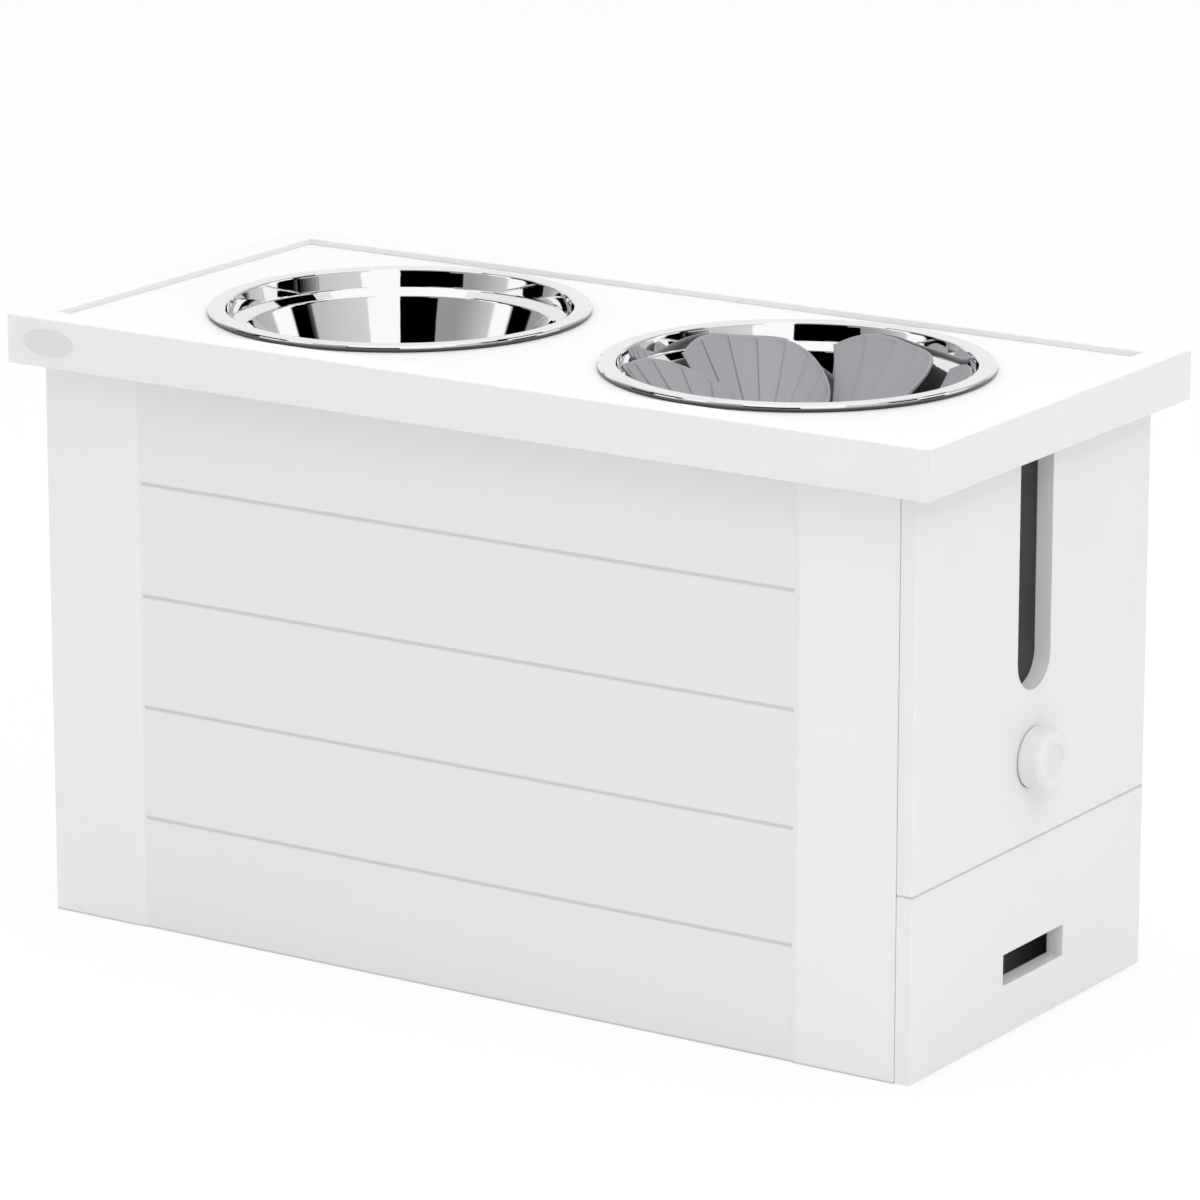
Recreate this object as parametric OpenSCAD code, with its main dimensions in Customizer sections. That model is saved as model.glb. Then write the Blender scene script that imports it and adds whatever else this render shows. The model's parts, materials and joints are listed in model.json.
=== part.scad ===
// Elevated dog feeder: a white cabinet with a hinged lid that carries two steel bowls,
// a dry-food hopper with a viewing slot, a pull gate and a drawer.
// Frame: origin under the middle of the lid on the floor, +X towards the drawer end,
// -Y towards the planked front, +Z up. Millimetres.

/* [Lid] */
// Length of the lid, side to side
lid_length = 640; // [600:1:720]
// Depth of the lid, front to back
lid_depth = 302; // [290:1:340]
// Height of the lid's edge boards
lid_height = 30; // [26:1:40]
// Width of the edge boards, seen from above
edge_board_w = 20.5; // [18:0.5:26]
// How far the edge boards stand above the top panel
rim_stand = 4; // [2:0.5:6]
// Thickness of the top panel
top_panel_t = 12; // [9:0.5:14]
// How far the top panel's edge sits in the edge boards' groove
panel_tongue = 6; // [4:0.5:8]
// Overhang of the lid past the cabinet's sides
side_overhang = 16; // [12:1:24]
// Overhang of the lid past the cabinet's front
front_overhang = 15; // [10:1:24]
// Overhang of the lid past the cabinet's back, over the hinges
rear_overhang = 18; // [17:1:26]
// Width of the batten under the top panel
batten_w = 40; // [30:1:48]

/* [Cabinet] */
// Height of the cabinet under the lid
body_height = 345; // [335:1:380]
// Thickness of the painted boards
board_t = 10.5; // [9:0.5:13]
// Width of the stiles at both ends of the front
stile_w = 64.5; // [50:0.5:80]
// Depth of the sunk field between the stiles
field_depth = 1.5; // [0.8:0.1:2.5]
// Width of the bevel between stile and field
bevel_w = 4.3; // [2:0.1:7]
// Height of one plank, from groove to groove
plank_pitch = 69.5; // [60:0.5:80]
// Width of a plank groove at its mouth
groove_w = 3; // [2:0.1:4]
// Depth of a plank groove
groove_depth = 1.8; // [1:0.1:2.5]
// Gap between the lid and the inner boards that don't carry it
head_gap = 2; // [1:0.5:5]
// Place of the partition's hopper side, right of the middle
partition_x = 0; // [-40:1:20]
// Gap in the seams between boards that only meet
seam = 0.3; // [0.1:0.1:0.6]
// Chamfer on the boards' edges
arris = 0.6; // [0.3:0.1:1]

/* [Window] */
// Width of the viewing slot
slot_w = 38; // [30:1:46]
// Height of the slot's round end above the floor
slot_bottom_z = 202; // [195:1:230]
// Thickness of the clear pane
pane_t = 2; // [1.5:0.5:3]
// How far the pane covers the board round the slot
pane_margin = 12; // [10:1:16]

/* [Drawer] */
// Height of the drawer front
drawer_front_h = 110; // [100:1:125]
// Gap under the drawer front
floor_gap = 1; // [0.5:0.5:2]
// Gap between the drawer front and the side panel above it
drawer_gap = 1; // [0.6:0.1:2]
// Height of the drawer's sides
drawer_side_h = 85; // [60:1:95]
// Thickness of the drawer's sides
drawer_side_t = 9; // [8:0.5:11]
// Thickness of the drawer's bottom
drawer_bottom_t = 4; // [3:0.5:5]
// Clearance between the drawer box and the panels beside it
drawer_play = 1.5; // [1:0.5:3]
// Depth of the finger space behind the drawer front
finger_space = 29.5; // [24:0.5:40]
// Width of the finger hole
finger_hole_w = 70; // [50:1:90]
// Height of the finger hole
finger_hole_h = 19; // [16:1:28]
// Height of the finger hole's lower edge above the floor
finger_hole_z = 31; // [26:1:45]
// Offset of the finger hole towards the back
finger_hole_shift = 5; // [0:1:10]

/* [Hopper] */
// Thickness of the deck that carries the ramps
deck_t = 8; // [6:0.5:10]
// Distance of the outlet's far end from the side panel
outlet_reach = 60.5; // [58:0.5:70]
// Length of the outlet along the gate's travel
outlet_l = 48; // [40:1:49]
// Distance of the outlet's sides from the front and back panels
outlet_margin = 39; // [34:1:60]
// Thickness of the ramps
ramp_t = 6; // [4:0.5:8]
// Slope of the long ramp
long_ramp_angle = 30; // [26:1:32]
// Slope of the short ramp under the window
short_ramp_angle = 19; // [15:1:20]
// Height at which the front and back ramps meet the walls
wall_line_z = 193.5; // [190:0.5:197]

/* [Gate] */
// Height of the knob's middle above the floor
knob_z = 161.5; // [160:0.5:163]
// Diameter of the pull knob
knob_d = 34.6; // [28:0.2:38]
// Clearance round the knob in its hole
knob_play = 0.7; // [0.4:0.1:1.2]
// How far the knob stands out of the side
knob_stand = 16; // [14:0.5:20]
// Radius of the knob's front edge
knob_round = 5.5; // [3:0.5:7]
// Diameter of the dish in the knob's face
knob_dish_d = 17.4; // [12:0.2:20]
// Depth of the dish
knob_dish_depth = 2.4; // [1:0.2:4]
// Diameter of the pull rod
rod_d = 5; // [4:0.5:6]
// Thickness of the gate plate
gate_t = 8; // [7:0.5:10]
// Lap of the gate plate past the outlet on every side
gate_lap = 5; // [4:0.5:6]
// Sliding clearance round the gate plate
gate_play = 0.5; // [0.3:0.1:0.8]

/* [Bowls] */
// Diameter of a bowl over its rolled edge
bowl_d = 232; // [220:1:236]
// Depth of a bowl below its rim
bowl_depth = 65; // [55:1:75]
// Thickness of the bowls' sheet
sheet_t = 0.8; // [0.6:0.1:1]
// Width of the flat rim with its rolled edge
flat_rim_w = 9; // [7:0.5:11]
// Height of the steep upper wall
upper_wall_h = 12; // [9:0.5:16]
// Lean of the upper wall from upright
upper_wall_lean = 9.5; // [4:0.5:14]
// Width of the step under the upper wall
step_w = 7.5; // [5:0.5:9]
// Fall of the step towards the middle
step_fall = 4.5; // [1:0.5:6]
// Radius of the bowl's flat bottom
bottom_r = 70; // [60:1:76]
// Distance between the two bowls' middles
bowl_spacing = 281; // [270:1:284]
// Offset of the pair of bowls towards the drawer end
bowl_shift = 3; // [0:0.5:6]
// Clearance between a bowl's wall and its hole
bowl_play = 1; // [0.5:0.5:2.5]

/* [Slow feeder insert] */
// Number of petals round the insert
petal_count = 6; // [5:1:6]
// Angle of the first petal round the insert
petal_phase = 18; // [0:1:60]
// Thickness of a petal
petal_t = 2.2; // [1.8:0.1:2.6]
// Room left between neighbouring petals at the ends of their ribs, mm
petal_gap = 5; // [3:0.5:16]
// Roundness of a petal's outline: 2 is an ellipse, more is squarer
petal_square = 2.85; // [2.4:0.05:4]
// Gap between the petals' tips and the bowl's steep wall
petal_play = 3.8; // [3.4:0.2:8]
// Height of the bowl's rim over the petals' tips
petal_drop = 11; // [10:0.2:16]
// How far a petal's sides curl in from its middle
petal_cup = 23; // [18:0.2:24]
// How far a petal's tip curls in
petal_curl = 5; // [2:0.2:6]
// Turn of a petal about an upright line, so that its sides pass its neighbours'
petal_twist = 22; // [16:1:24]
// Turn of a petal's outline in its own sheet
petal_roll = 10; // [6:1:12]
// Distance of the pleats' meeting points from the middle
fan_r = 30; // [28:0.5:33]
// Shift of a pleats' meeting point to the side
fan_shift = 12; // [10:0.5:13]
// Depth of the pleats' meeting points below the base disc's top
fan_drop = 9.6; // [8:0.2:11]
// Number of pleats on a petal
pleats = 8; // [6:1:9]
// Angle of the fan's first edge from the outline's axis
fan_start = 55.5; // [50:0.5:57]
// Angle over the whole fan
fan_angle = 83; // [76:1:84]
// Height of the step between two pleats
pleat_step = 0.6; // [0.3:0.1:1]
// Margin of the base disc round the petals' feet
insert_base_margin = 24; // [22:1:28]
// Thickness of the insert's base disc
insert_base_t = 2.4; // [2:0.2:3.6]

/* [Fasteners] */
// Diameter of a cam lock
cam_d = 12; // [10:1:13]
// Depth of a cam lock
cam_h = 7; // [6:0.5:7.5]
// Distance of a cam lock's middle from the joint
cam_reach = 18; // [15:1:22]
// Diameter of a cam bolt
cam_bolt_d = 5; // [4:0.5:5]
// Depth of a cam bolt in the board it grips
cam_bolt_grip = 7; // [6:0.5:8]
// Diameter of a wooden dowel
dowel_d = 6; // [5:0.5:6]
// Length of a wooden dowel
dowel_l = 22; // [18:1:28]
// Diameter of a wood screw's shank
screw_d = 3.4; // [3:0.1:4]
// Diameter of a countersunk screw head
screw_head_d = 7; // [6:0.5:8]
// Distance of the outer cam locks from the ends of a joint
cam_inset = 55; // [50:1:70]
// Distance of the outer back screws from the corners
back_screw_inset = 45; // [30:1:60]
// Length of the back panel's screws
back_screw_l = 30; // [24:1:36]
// Radial gap round the shanks of screws, dowels and bolts
fit_gap = 0.05; // [0.03:0.01:0.1]

/* [Hinges] */
// Length of a hinge
hinge_l = 50; // [40:1:60]
// Distance of the hinges from the middle of the lid
hinge_x = 200; // [150:1:230]
// Thickness of a hinge leaf
leaf_t = 1.2; // [1:0.1:1.5]
// Radius of the hinge barrel
barrel_r = 2.6; // [2.4:0.1:2.8]
// Diameter of the hinge pin
hinge_pin_d = 3; // [2.6:0.1:3.2]

/* [Hidden] */

// Colours of the finishes
paint_white = [0.92, 0.92, 0.92];
raw_board = [0.80, 0.68, 0.50];
raw_wood = [0.86, 0.74, 0.54];
steel = [0.78, 0.79, 0.80];
zinc = [0.70, 0.71, 0.73];
grey_plastic = [0.61, 0.60, 0.63];
white_plastic = [0.93, 0.93, 0.93];
clear_plastic = [0.80, 0.88, 0.92, 0.4];

$fn = 48;
// How far a cutting solid runs past the face that it cuts
past = 1;

// Cabinet's outer and inner faces
x0 = -lid_length / 2 + side_overhang;
x1 = lid_length / 2 - side_overhang;
y0 = -lid_depth / 2 + front_overhang;
y1 = lid_depth / 2 - rear_overhang;
yc = (y0 + y1) / 2;
xi0 = x0 + board_t;
xi1 = x1 - board_t;
yi0 = y0 + board_t;
yi1 = y1 - board_t;
lid_z0 = body_height;
lid_z1 = lid_z0 + lid_height;
top_z = lid_z1 - rim_stand;
panel_z0 = top_z - top_panel_t;
drawer_front_z1 = floor_gap + drawer_front_h;
side_z0 = drawer_front_z1 + drawer_gap;

// A box between two corners
module box(a, b) {
    translate(a) cube(b - a);
}

// Chamfered outline of a rectangle between two corners
function chamfered(a, b, c) = [
    [a[0] + c, a[1]], [b[0] - c, a[1]], [b[0], a[1] + c], [b[0], b[1] - c],
    [b[0] - c, b[1]], [a[0] + c, b[1]], [a[0], b[1] - c], [a[0], a[1] + c]
];

// Prism along X over an outline in Y and Z
module prism_x(from, to, outline) {
    translate([from, 0, 0]) rotate([90, 0, 90]) linear_extrude(to - from) polygon(outline);
}

// Prism along Y over an outline in X and Z
module prism_y(from, to, outline) {
    translate([0, to, 0]) rotate([90, 0, 0]) linear_extrude(to - from) polygon(outline);
}

// Prism along Z over an outline in X and Y
module prism_z(from, to, outline) {
    translate([0, 0, from]) linear_extrude(to - from) polygon(outline);
}

// A board between two corners, with all its edges chamfered
module board(a, b, c = arris) {
    intersection() {
        prism_x(a[0], b[0], chamfered([a[1], a[2]], [b[1], b[2]], c));
        prism_y(a[1], b[1], chamfered([a[0], a[2]], [b[0], b[2]], c));
        prism_z(a[2], b[2], chamfered([a[0], a[1]], [b[0], b[1]], c));
    }
}

// Turns a shape that points along +Z so that it points along a main direction
module pointing(d) {
    rotate(d == [1, 0, 0] ? [0, 90, 0] : d == [-1, 0, 0] ? [0, -90, 0]
         : d == [0, 1, 0] ? [-90, 0, 0] : d == [0, -1, 0] ? [90, 0, 0]
         : d == [0, 0, -1] ? [180, 0, 0] : [0, 0, 0]) children();
}

// ---- fasteners ----------------------------------------------------------

// Countersunk screw with its head's top at the origin and its shank along +Z
head_h = (screw_head_d - screw_d) / 2;
module csk_screw(l, gap = 0, head_past = 0) {
    cylinder(h = l, r = screw_d / 2 + gap);
    cylinder(h = head_h, r1 = screw_head_d / 2 + gap, r2 = screw_d / 2 + gap);
    if (head_past > 0)
        translate([0, 0, -head_past]) cylinder(h = head_past, r = screw_head_d / 2 + gap);
}

module screw_at(p, d, l) {
    translate(p) pointing(d) difference() {
        csk_screw(l);
        translate([0, 0, -past]) linear_extrude(past + 0.8) {
            square([screw_head_d * 0.55, 0.9], center = true);
            square([0.9, screw_head_d * 0.55], center = true);
        }
    }
}

module screw_hole_at(p, d, l) {
    translate(p) pointing(d) csk_screw(l + fit_gap, fit_gap, past);
}

// Cam lock: a disc in a pocket of the face at p, open towards f, gripping a bolt that comes from e
cam_bolt_l = cam_bolt_grip + cam_reach - cam_d / 4;
module cam_at(p, f, e, h = cam_h) {
    difference() {
        translate(p) pointing(-f) cylinder(h = h, d = cam_d);
        translate(p) pointing(-f) translate([0, 0, -past]) linear_extrude(past + 1.2) {
            square([cam_d * 0.5, 1.4], center = true);
            square([1.4, cam_d * 0.5], center = true);
        }
        cam_bolt_at(p, f, e, fit_gap + 0.1, fit_gap + 0.2);
    }
}

module cam_pocket_at(p, f, h = cam_h) {
    translate(p + f * past) pointing(-f) cylinder(h = h + past, d = cam_d + 2 * fit_gap);
}

// Bolt along the board's middle plane, from the cam's inside into the next board
module cam_bolt_at(p, f, e, gap = 0, longer = 0) {
    start = p - f * board_t / 2 + e * (cam_d / 4 - longer);
    translate(start) pointing(e) cylinder(h = cam_bolt_l + longer, d = cam_bolt_d + 2 * gap);
}

// Each joint: [middle of the pocket on the face, direction the pocket opens to, direction to the next board]
cabinet_cams = concat(
    [for (z = [cam_inset, body_height - cam_inset]) [[xi0, yi0 + cam_reach, z], [1, 0, 0], [0, -1, 0]]],
    [for (z = [side_z0 + cam_inset / 2, body_height - cam_inset]) for (s = [-1, 1])
        [[xi1 - seam - cam_reach, s < 0 ? yi0 : yi1, z], [0, -s, 0], [1, 0, 0]]],
    [for (x = [xi0 + cam_inset, partition_x - board_t - cam_inset, (partition_x + xi1) / 2])
        [[x, yi0 + cam_reach, 0], [0, 0, -1], [0, -1, 0]]],
    [for (z = [cam_inset, body_height - cam_inset])
        [[partition_x - board_t, yi0 + cam_reach, z], [-1, 0, 0], [0, -1, 0]]]
);

// Dowels between the front panel and the boards behind it: [place on the front panel's inner face]
cabinet_dowels = concat(
    [for (x = [x0 + board_t / 2, partition_x - board_t / 2]) for (k = [1, 2]) [x, yi0, body_height * k / 3]],
    [for (x = [(xi0 + partition_x) / 2, (3 * partition_x + xi1) / 4, (partition_x + 3 * xi1) / 4])
        [x, yi0, board_t / 2]]
);
dowel_in_front = board_t - 4;

module dowel_at(p, gap = 0) {
    translate([p[0], p[1] - dowel_in_front - gap, p[2]]) pointing([0, 1, 0])
        cylinder(h = dowel_l + 2 * gap, d = dowel_d + 2 * gap);
}

// Screws through the back panel into the boards in front of it
back_screws = concat(
    [for (x = [x0 + board_t / 2, partition_x - board_t / 2])
        for (z = [back_screw_inset, body_height / 2, body_height - back_screw_inset]) [x, y1, z]],
    [for (x = [xi0 + back_screw_inset, (xi0 + partition_x) / 2,
               (3 * partition_x + xi1) / 4, xi1 - back_screw_inset])
        [x, y1, board_t / 2]]
);

module cabinet_cam_cuts() {
    for (c = cabinet_cams) {
        cam_pocket_at(c[0], c[1]);
        cam_bolt_at(c[0], c[1], c[2], fit_gap, fit_gap);
    }
}

module dowel_cuts() {
    for (p = cabinet_dowels) dowel_at(p, fit_gap);
}

module back_screw_cuts() {
    for (p = back_screws) screw_hole_at(p, [0, -1, 0], back_screw_l);
}

// ---- cabinet ------------------------------------------------------------

field_x0 = x0 + stile_w;
field_x1 = xi1 - seam - stile_w;
field_y = y0 + field_depth;

// One plank groove: a V with a flat floor, its ends mitred the same way
module plank_groove(z) {
    floor_w = groove_w / 3;
    side = (groove_w - floor_w) / 2;
    end0 = field_x0 + bevel_w;
    end1 = field_x1 - bevel_w;
    intersection() {
        prism_x(end0 - past, end1 + past, [
            [field_y - past, z - groove_w / 2], [field_y, z - groove_w / 2],
            [field_y + groove_depth, z - floor_w / 2], [field_y + groove_depth, z + floor_w / 2],
            [field_y, z + groove_w / 2], [field_y - past, z + groove_w / 2]
        ]);
        prism_z(z - groove_w, z + groove_w, [
            [end0, field_y - past], [end0, field_y], [end0 + side, field_y + groove_depth],
            [end1 - side, field_y + groove_depth], [end1, field_y], [end1, field_y - past]
        ]);
    }
}

module front_panel() {
    planks = floor(body_height / plank_pitch);
    color(paint_white) difference() {
        board([x0, y0, 0], [xi1 - seam, yi0, body_height]);
        prism_z(-past, body_height + past, [
            [field_x0 - bevel_w * past / field_depth, y0 - past], [field_x0, y0],
            [field_x0 + bevel_w, field_y], [field_x1 - bevel_w, field_y],
            [field_x1, y0], [field_x1 + bevel_w * past / field_depth, y0 - past]
        ]);
        for (k = [1 : planks]) plank_groove(k * plank_pitch);
        cabinet_cam_cuts();
        dowel_cuts();
    }
}

module back_panel() {
    color(paint_white) difference() {
        board([x0, yi1, 0], [xi1 - seam, y1, body_height]);
        cabinet_cam_cuts();
        back_screw_cuts();
        hinge_screw_cuts();
    }
}

module left_side_panel() {
    color(paint_white) difference() {
        board([x0, yi0, 0], [xi0, yi1, body_height]);
        cabinet_cam_cuts();
        dowel_cuts();
        back_screw_cuts();
    }
}

module slot_cut() {
    r = slot_w / 2;
    translate([xi1 - past, yc, slot_bottom_z + r]) rotate([90, 0, 90]) linear_extrude(board_t + 2 * past) {
        circle(r = r);
        translate([-r, 0]) square([slot_w, body_height]);
    }
}

module right_side_panel() {
    color(paint_white) difference() {
        board([xi1, y0, side_z0], [x1, y1, body_height]);
        slot_cut();
        translate([xi1 - past, yc, knob_z]) rotate([0, 90, 0])
            cylinder(h = board_t + 2 * past, d = knob_d + 2 * knob_play);
        cabinet_cam_cuts();
        for (p = window_screw_places) window_screw_at(p, fit_gap);
    }
}

module bottom_board() {
    color(raw_board) difference() {
        board([xi0, yi0, 0], [xi1 - drawer_gap, yi1, board_t]);
        cabinet_cam_cuts();
        dowel_cuts();
        back_screw_cuts();
    }
}

module partition() {
    color(raw_board) difference() {
        board([partition_x - board_t, yi0, board_t], [partition_x, yi1, body_height - head_gap]);
        cabinet_cam_cuts();
        dowel_cuts();
        back_screw_cuts();
    }
}

// ---- window -------------------------------------------------------------

pane_half_w = slot_w / 2 + pane_margin;
window_screw_l = 8;
window_head_h = 1.8;
window_screw_places = [
    for (y = [-1, 1]) for (z = [slot_bottom_z + pane_margin, body_height - head_gap - pane_margin])
        [xi1 - pane_t, yc + y * (pane_half_w - pane_margin / 2), z]
];

// Pan head screw from inside, with its head on the pane
module window_screw_at(p, gap = 0) {
    translate(p) rotate([0, 90, 0]) cylinder(h = pane_t + window_screw_l + gap, d = screw_d - 0.6 + 2 * gap);
}

module window_pane() {
    color(clear_plastic) difference() {
        box([xi1 - pane_t, yc - pane_half_w, slot_bottom_z - pane_margin],
            [xi1, yc + pane_half_w, body_height - head_gap]);
        for (p = window_screw_places) translate([-past, 0, 0]) window_screw_at(p, fit_gap);
    }
}

module window_screws() {
    color(zinc) for (p = window_screw_places) {
        window_screw_at(p);
        translate(p) rotate([0, -90, 0]) difference() {
            cylinder(h = window_head_h, d1 = screw_d + 2.6, d2 = screw_d + 1);
            translate([0, 0, window_head_h - 0.7]) linear_extrude(past) {
                square([3, 0.7], center = true);
                square([0.7, 3], center = true);
            }
        }
    }
}

// ---- hopper -------------------------------------------------------------

gate_z0 = knob_z - gate_t / 2;
gate_z1 = knob_z + gate_t / 2;
deck_z0 = gate_z1 + gate_play;
deck_z1 = deck_z0 + deck_t;
outlet_x1 = xi1 - outlet_reach;
outlet_x = outlet_x1 - outlet_l;
outlet_y0 = yi0 + outlet_margin;
outlet_y1 = yi1 - outlet_margin;
ramp_end_x = xi1 - pane_t - 0.5;
long_slope = tan(long_ramp_angle);
short_slope = tan(short_ramp_angle);
long_rise = ramp_t / cos(long_ramp_angle);
short_rise = ramp_t / cos(short_ramp_angle);
long_top_z = deck_z1 + (outlet_x - partition_x) * long_slope;
short_top_z = deck_z1 + (ramp_end_x - outlet_x1) * short_slope;

module hopper_deck() {
    color(raw_board) difference() {
        box([partition_x, yi0, deck_z0], [xi1, yi1, deck_z1]);
        box([outlet_x, outlet_y0, deck_z0 - past], [outlet_x1, outlet_y1, deck_z1 + past]);
        for (p = guide_screw_places) guide_screw_at(p, fit_gap);
    }
}

deck_batten_w = 12;
module deck_battens() {
    color(raw_wood) for (y = [yi0, yi1 - deck_batten_w])
        board([partition_x, y, deck_z0 - deck_batten_w], [xi1 - 2, y + deck_batten_w, deck_z0]);
}

module hopper_ramp_left() {
    color(raw_board) prism_y(yi0, yi1, [
        [partition_x, long_top_z], [outlet_x, deck_z1],
        [outlet_x, deck_z1 + long_rise], [partition_x, long_top_z + long_rise]
    ]);
}

module hopper_ramp_right() {
    color(raw_board) prism_y(yi0, yi1, [
        [outlet_x1, deck_z1], [ramp_end_x, short_top_z],
        [ramp_end_x, short_top_z + short_rise], [outlet_x1, deck_z1 + short_rise]
    ]);
}

// Space under the upper faces of the two cross ramps
module under_cross_ramps() {
    prism_y(yi0 - past, yi1 + past, [
        [partition_x - past, deck_z0], [outlet_x, deck_z0],
        [outlet_x, deck_z1 + long_rise], [partition_x - past, long_top_z + long_rise + past * long_slope]
    ]);
    prism_y(yi0 - past, yi1 + past, [
        [outlet_x1, deck_z0], [ramp_end_x + past, deck_z0],
        [ramp_end_x + past, short_top_z + short_rise + past * short_slope],
        [outlet_x1, deck_z1 + short_rise]
    ]);
}

// Ramp along a wall, from the wall's inner face down to the outlet's edge
module wall_ramp(wall_y, edge_y) {
    color(raw_board) difference() {
        prism_x(partition_x, ramp_end_x, [
            [edge_y, deck_z1], [edge_y, deck_z1 + ramp_t],
            [wall_y, wall_line_z], [wall_y, wall_line_z - ramp_t]
        ]);
        under_cross_ramps();
    }
}

module hopper_ramp_front() { wall_ramp(yi0, outlet_y0); }

module hopper_ramp_back() { wall_ramp(yi1, outlet_y1); }

// ---- gate ---------------------------------------------------------------

gate_x0 = outlet_x - gate_lap;
gate_x1 = outlet_x1 + gate_lap + 2;
gate_y0 = outlet_y0 - gate_lap - 1;
gate_y1 = outlet_y1 + gate_lap + 1;
guide_leg = 8;
guide_flange_t = 3;
guide_z0 = gate_z0 - gate_play - guide_flange_t;
guide_screw_l = 14;
guide_screw_places = [
    for (x = [gate_x0 + guide_leg, (gate_x0 + xi1) / 2, xi1 - 2 * guide_leg])
        for (y = [gate_y0 - gate_play - guide_leg / 2, gate_y1 + gate_play + guide_leg / 2]) [x, y, guide_z0]
];

module guide_screw_at(p, gap = 0) {
    translate(p) csk_screw(guide_screw_l + gap, gap, gap > 0 ? past : 0);
}

// Rebated rail that holds one edge of the gate plate; s is -1 at the front and 1 at the back
module gate_guide(edge_y, s) {
    inner = edge_y + s * gate_play;
    outer = inner + s * guide_leg;
    lip = edge_y - s * gate_lap;
    color(raw_wood) difference() {
        prism_x(gate_x0, xi1 - 2, [
            [outer, guide_z0], [outer, deck_z0], [inner, deck_z0],
            [inner, guide_z0 + guide_flange_t], [lip, guide_z0 + guide_flange_t], [lip, guide_z0]
        ]);
        for (p = guide_screw_places) guide_screw_at(p, fit_gap);
    }
}

module gate_guide_front() { gate_guide(gate_y0, -1); }

module gate_guide_back() { gate_guide(gate_y1, 1); }

module gate_guide_screws() {
    color(zinc) for (p = guide_screw_places) screw_at(p, [0, 0, 1], guide_screw_l);
}

rod_in_plate = 24;
rod_in_knob = 16;
knob_x0 = xi1 + 0.5;
knob_x1 = x1 + knob_stand;

module gate_rod_shape(gap) {
    translate([gate_x1 - rod_in_plate - gap, yc, knob_z]) rotate([0, 90, 0])
        cylinder(h = knob_x0 + rod_in_knob + 2 * gap - gate_x1 + rod_in_plate, d = rod_d + 2 * gap);
}

module gate_plate() {
    color(white_plastic) difference() {
        board([gate_x0, gate_y0, gate_z0], [gate_x1, gate_y1, gate_z1]);
        gate_rod_shape(fit_gap);
    }
}

module gate_rod() {
    color(steel) gate_rod_shape(0);
}

// Knob turned about its own axis: a barrel with a round front edge and a dished face
module pull_knob() {
    r = knob_d / 2;
    l = knob_x1 - knob_x0;
    dish_r = knob_dish_d / 2;
    dish_ball_r = (dish_r * dish_r + knob_dish_depth * knob_dish_depth) / (2 * knob_dish_depth);
    color(white_plastic) difference() {
        translate([knob_x0, yc, knob_z]) rotate([0, 90, 0]) difference() {
            union() {
                cylinder(h = l - knob_round, r = r, $fn = 96);
                cylinder(h = l, r = r - knob_round, $fn = 96);
                translate([0, 0, l - knob_round]) rotate_extrude($fn = 96)
                    translate([r - knob_round, 0]) circle(r = knob_round);
            }
            translate([0, 0, l + dish_ball_r - knob_dish_depth]) sphere(r = dish_ball_r, $fn = 96);
        }
        gate_rod_shape(fit_gap);
    }
}

// ---- lid ----------------------------------------------------------------

lx = lid_length / 2;
ly = lid_depth / 2;
bowl_x = [bowl_shift - bowl_spacing / 2, bowl_shift + bowl_spacing / 2];
bowl_wall_r = bowl_d / 2 - flat_rim_w;
bowl_hole_r = bowl_wall_r + bowl_play;
batten_z0 = panel_z0 - 12;

module lid_top_panel() {
    inset = edge_board_w - panel_tongue + 0.2;
    color(paint_white) difference() {
        box([inset - lx, inset - ly, panel_z0], [lx - inset, ly - inset, top_z]);
        for (x = bowl_x) translate([x, yc, panel_z0 - past])
            cylinder(h = top_panel_t + 2 * past, r = bowl_hole_r, $fn = 96);
        for (p = batten_screw_places) batten_screw_hole_at(p);
    }
}

// Outline of an edge board across its length: w runs outwards from the inner face
function edge_outline(s, face) = [
    for (p = concat(
        [[0, lid_z0], [edge_board_w - arris, lid_z0], [edge_board_w, lid_z0 + arris]],
        [[edge_board_w, lid_z1 - arris], [edge_board_w - arris, lid_z1], [arris, lid_z1]],
        [[0, lid_z1 - arris], [0, top_z + 0.1], [panel_tongue, top_z + 0.1]],
        [[panel_tongue, panel_z0], [0, panel_z0]]
    )) [face + s * (p[0] - edge_board_w), p[1]]
];

// Boards along the front (s = -1) and the back (s = 1), cut to the mitres
module lid_edge_long(s) {
    color(paint_white) difference() {
        intersection() {
            prism_x(-lx, lx, edge_outline(s, s * ly));
            prism_z(lid_z0, lid_z1, [
                [-lx, s * ly], [lx, s * ly], [lx - edge_board_w, s * (ly - edge_board_w)],
                [edge_board_w - lx, s * (ly - edge_board_w)]
            ]);
            box([arris / 2 - lx, -ly, lid_z0], [lx - arris / 2, ly, lid_z1]);
        }
        spline_cuts();
        lid_hinge_screw_cuts();
    }
}

// Boards along the left (s = -1) and the right (s = 1), cut to the mitres
module lid_edge_short(s) {
    color(paint_white) difference() {
        intersection() {
            prism_y(-ly, ly, edge_outline(s, s * lx));
            prism_z(lid_z0, lid_z1, [
                [s * lx, -ly], [s * lx, ly], [s * (lx - edge_board_w), ly - edge_board_w],
                [s * (lx - edge_board_w), edge_board_w - ly]
            ]);
            box([-lx, arris / 2 - ly, lid_z0], [lx, ly - arris / 2, lid_z1]);
        }
        spline_cuts();
    }
}

module lid_edge_front() { lid_edge_long(-1); }

module lid_edge_back() { lid_edge_long(1); }

module lid_edge_left() { lid_edge_short(-1); }

module lid_edge_right() { lid_edge_short(1); }

spline_t = 3;
spline_l = 14;
spline_w = 10;
spline_z = lid_z0 + 4;

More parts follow.
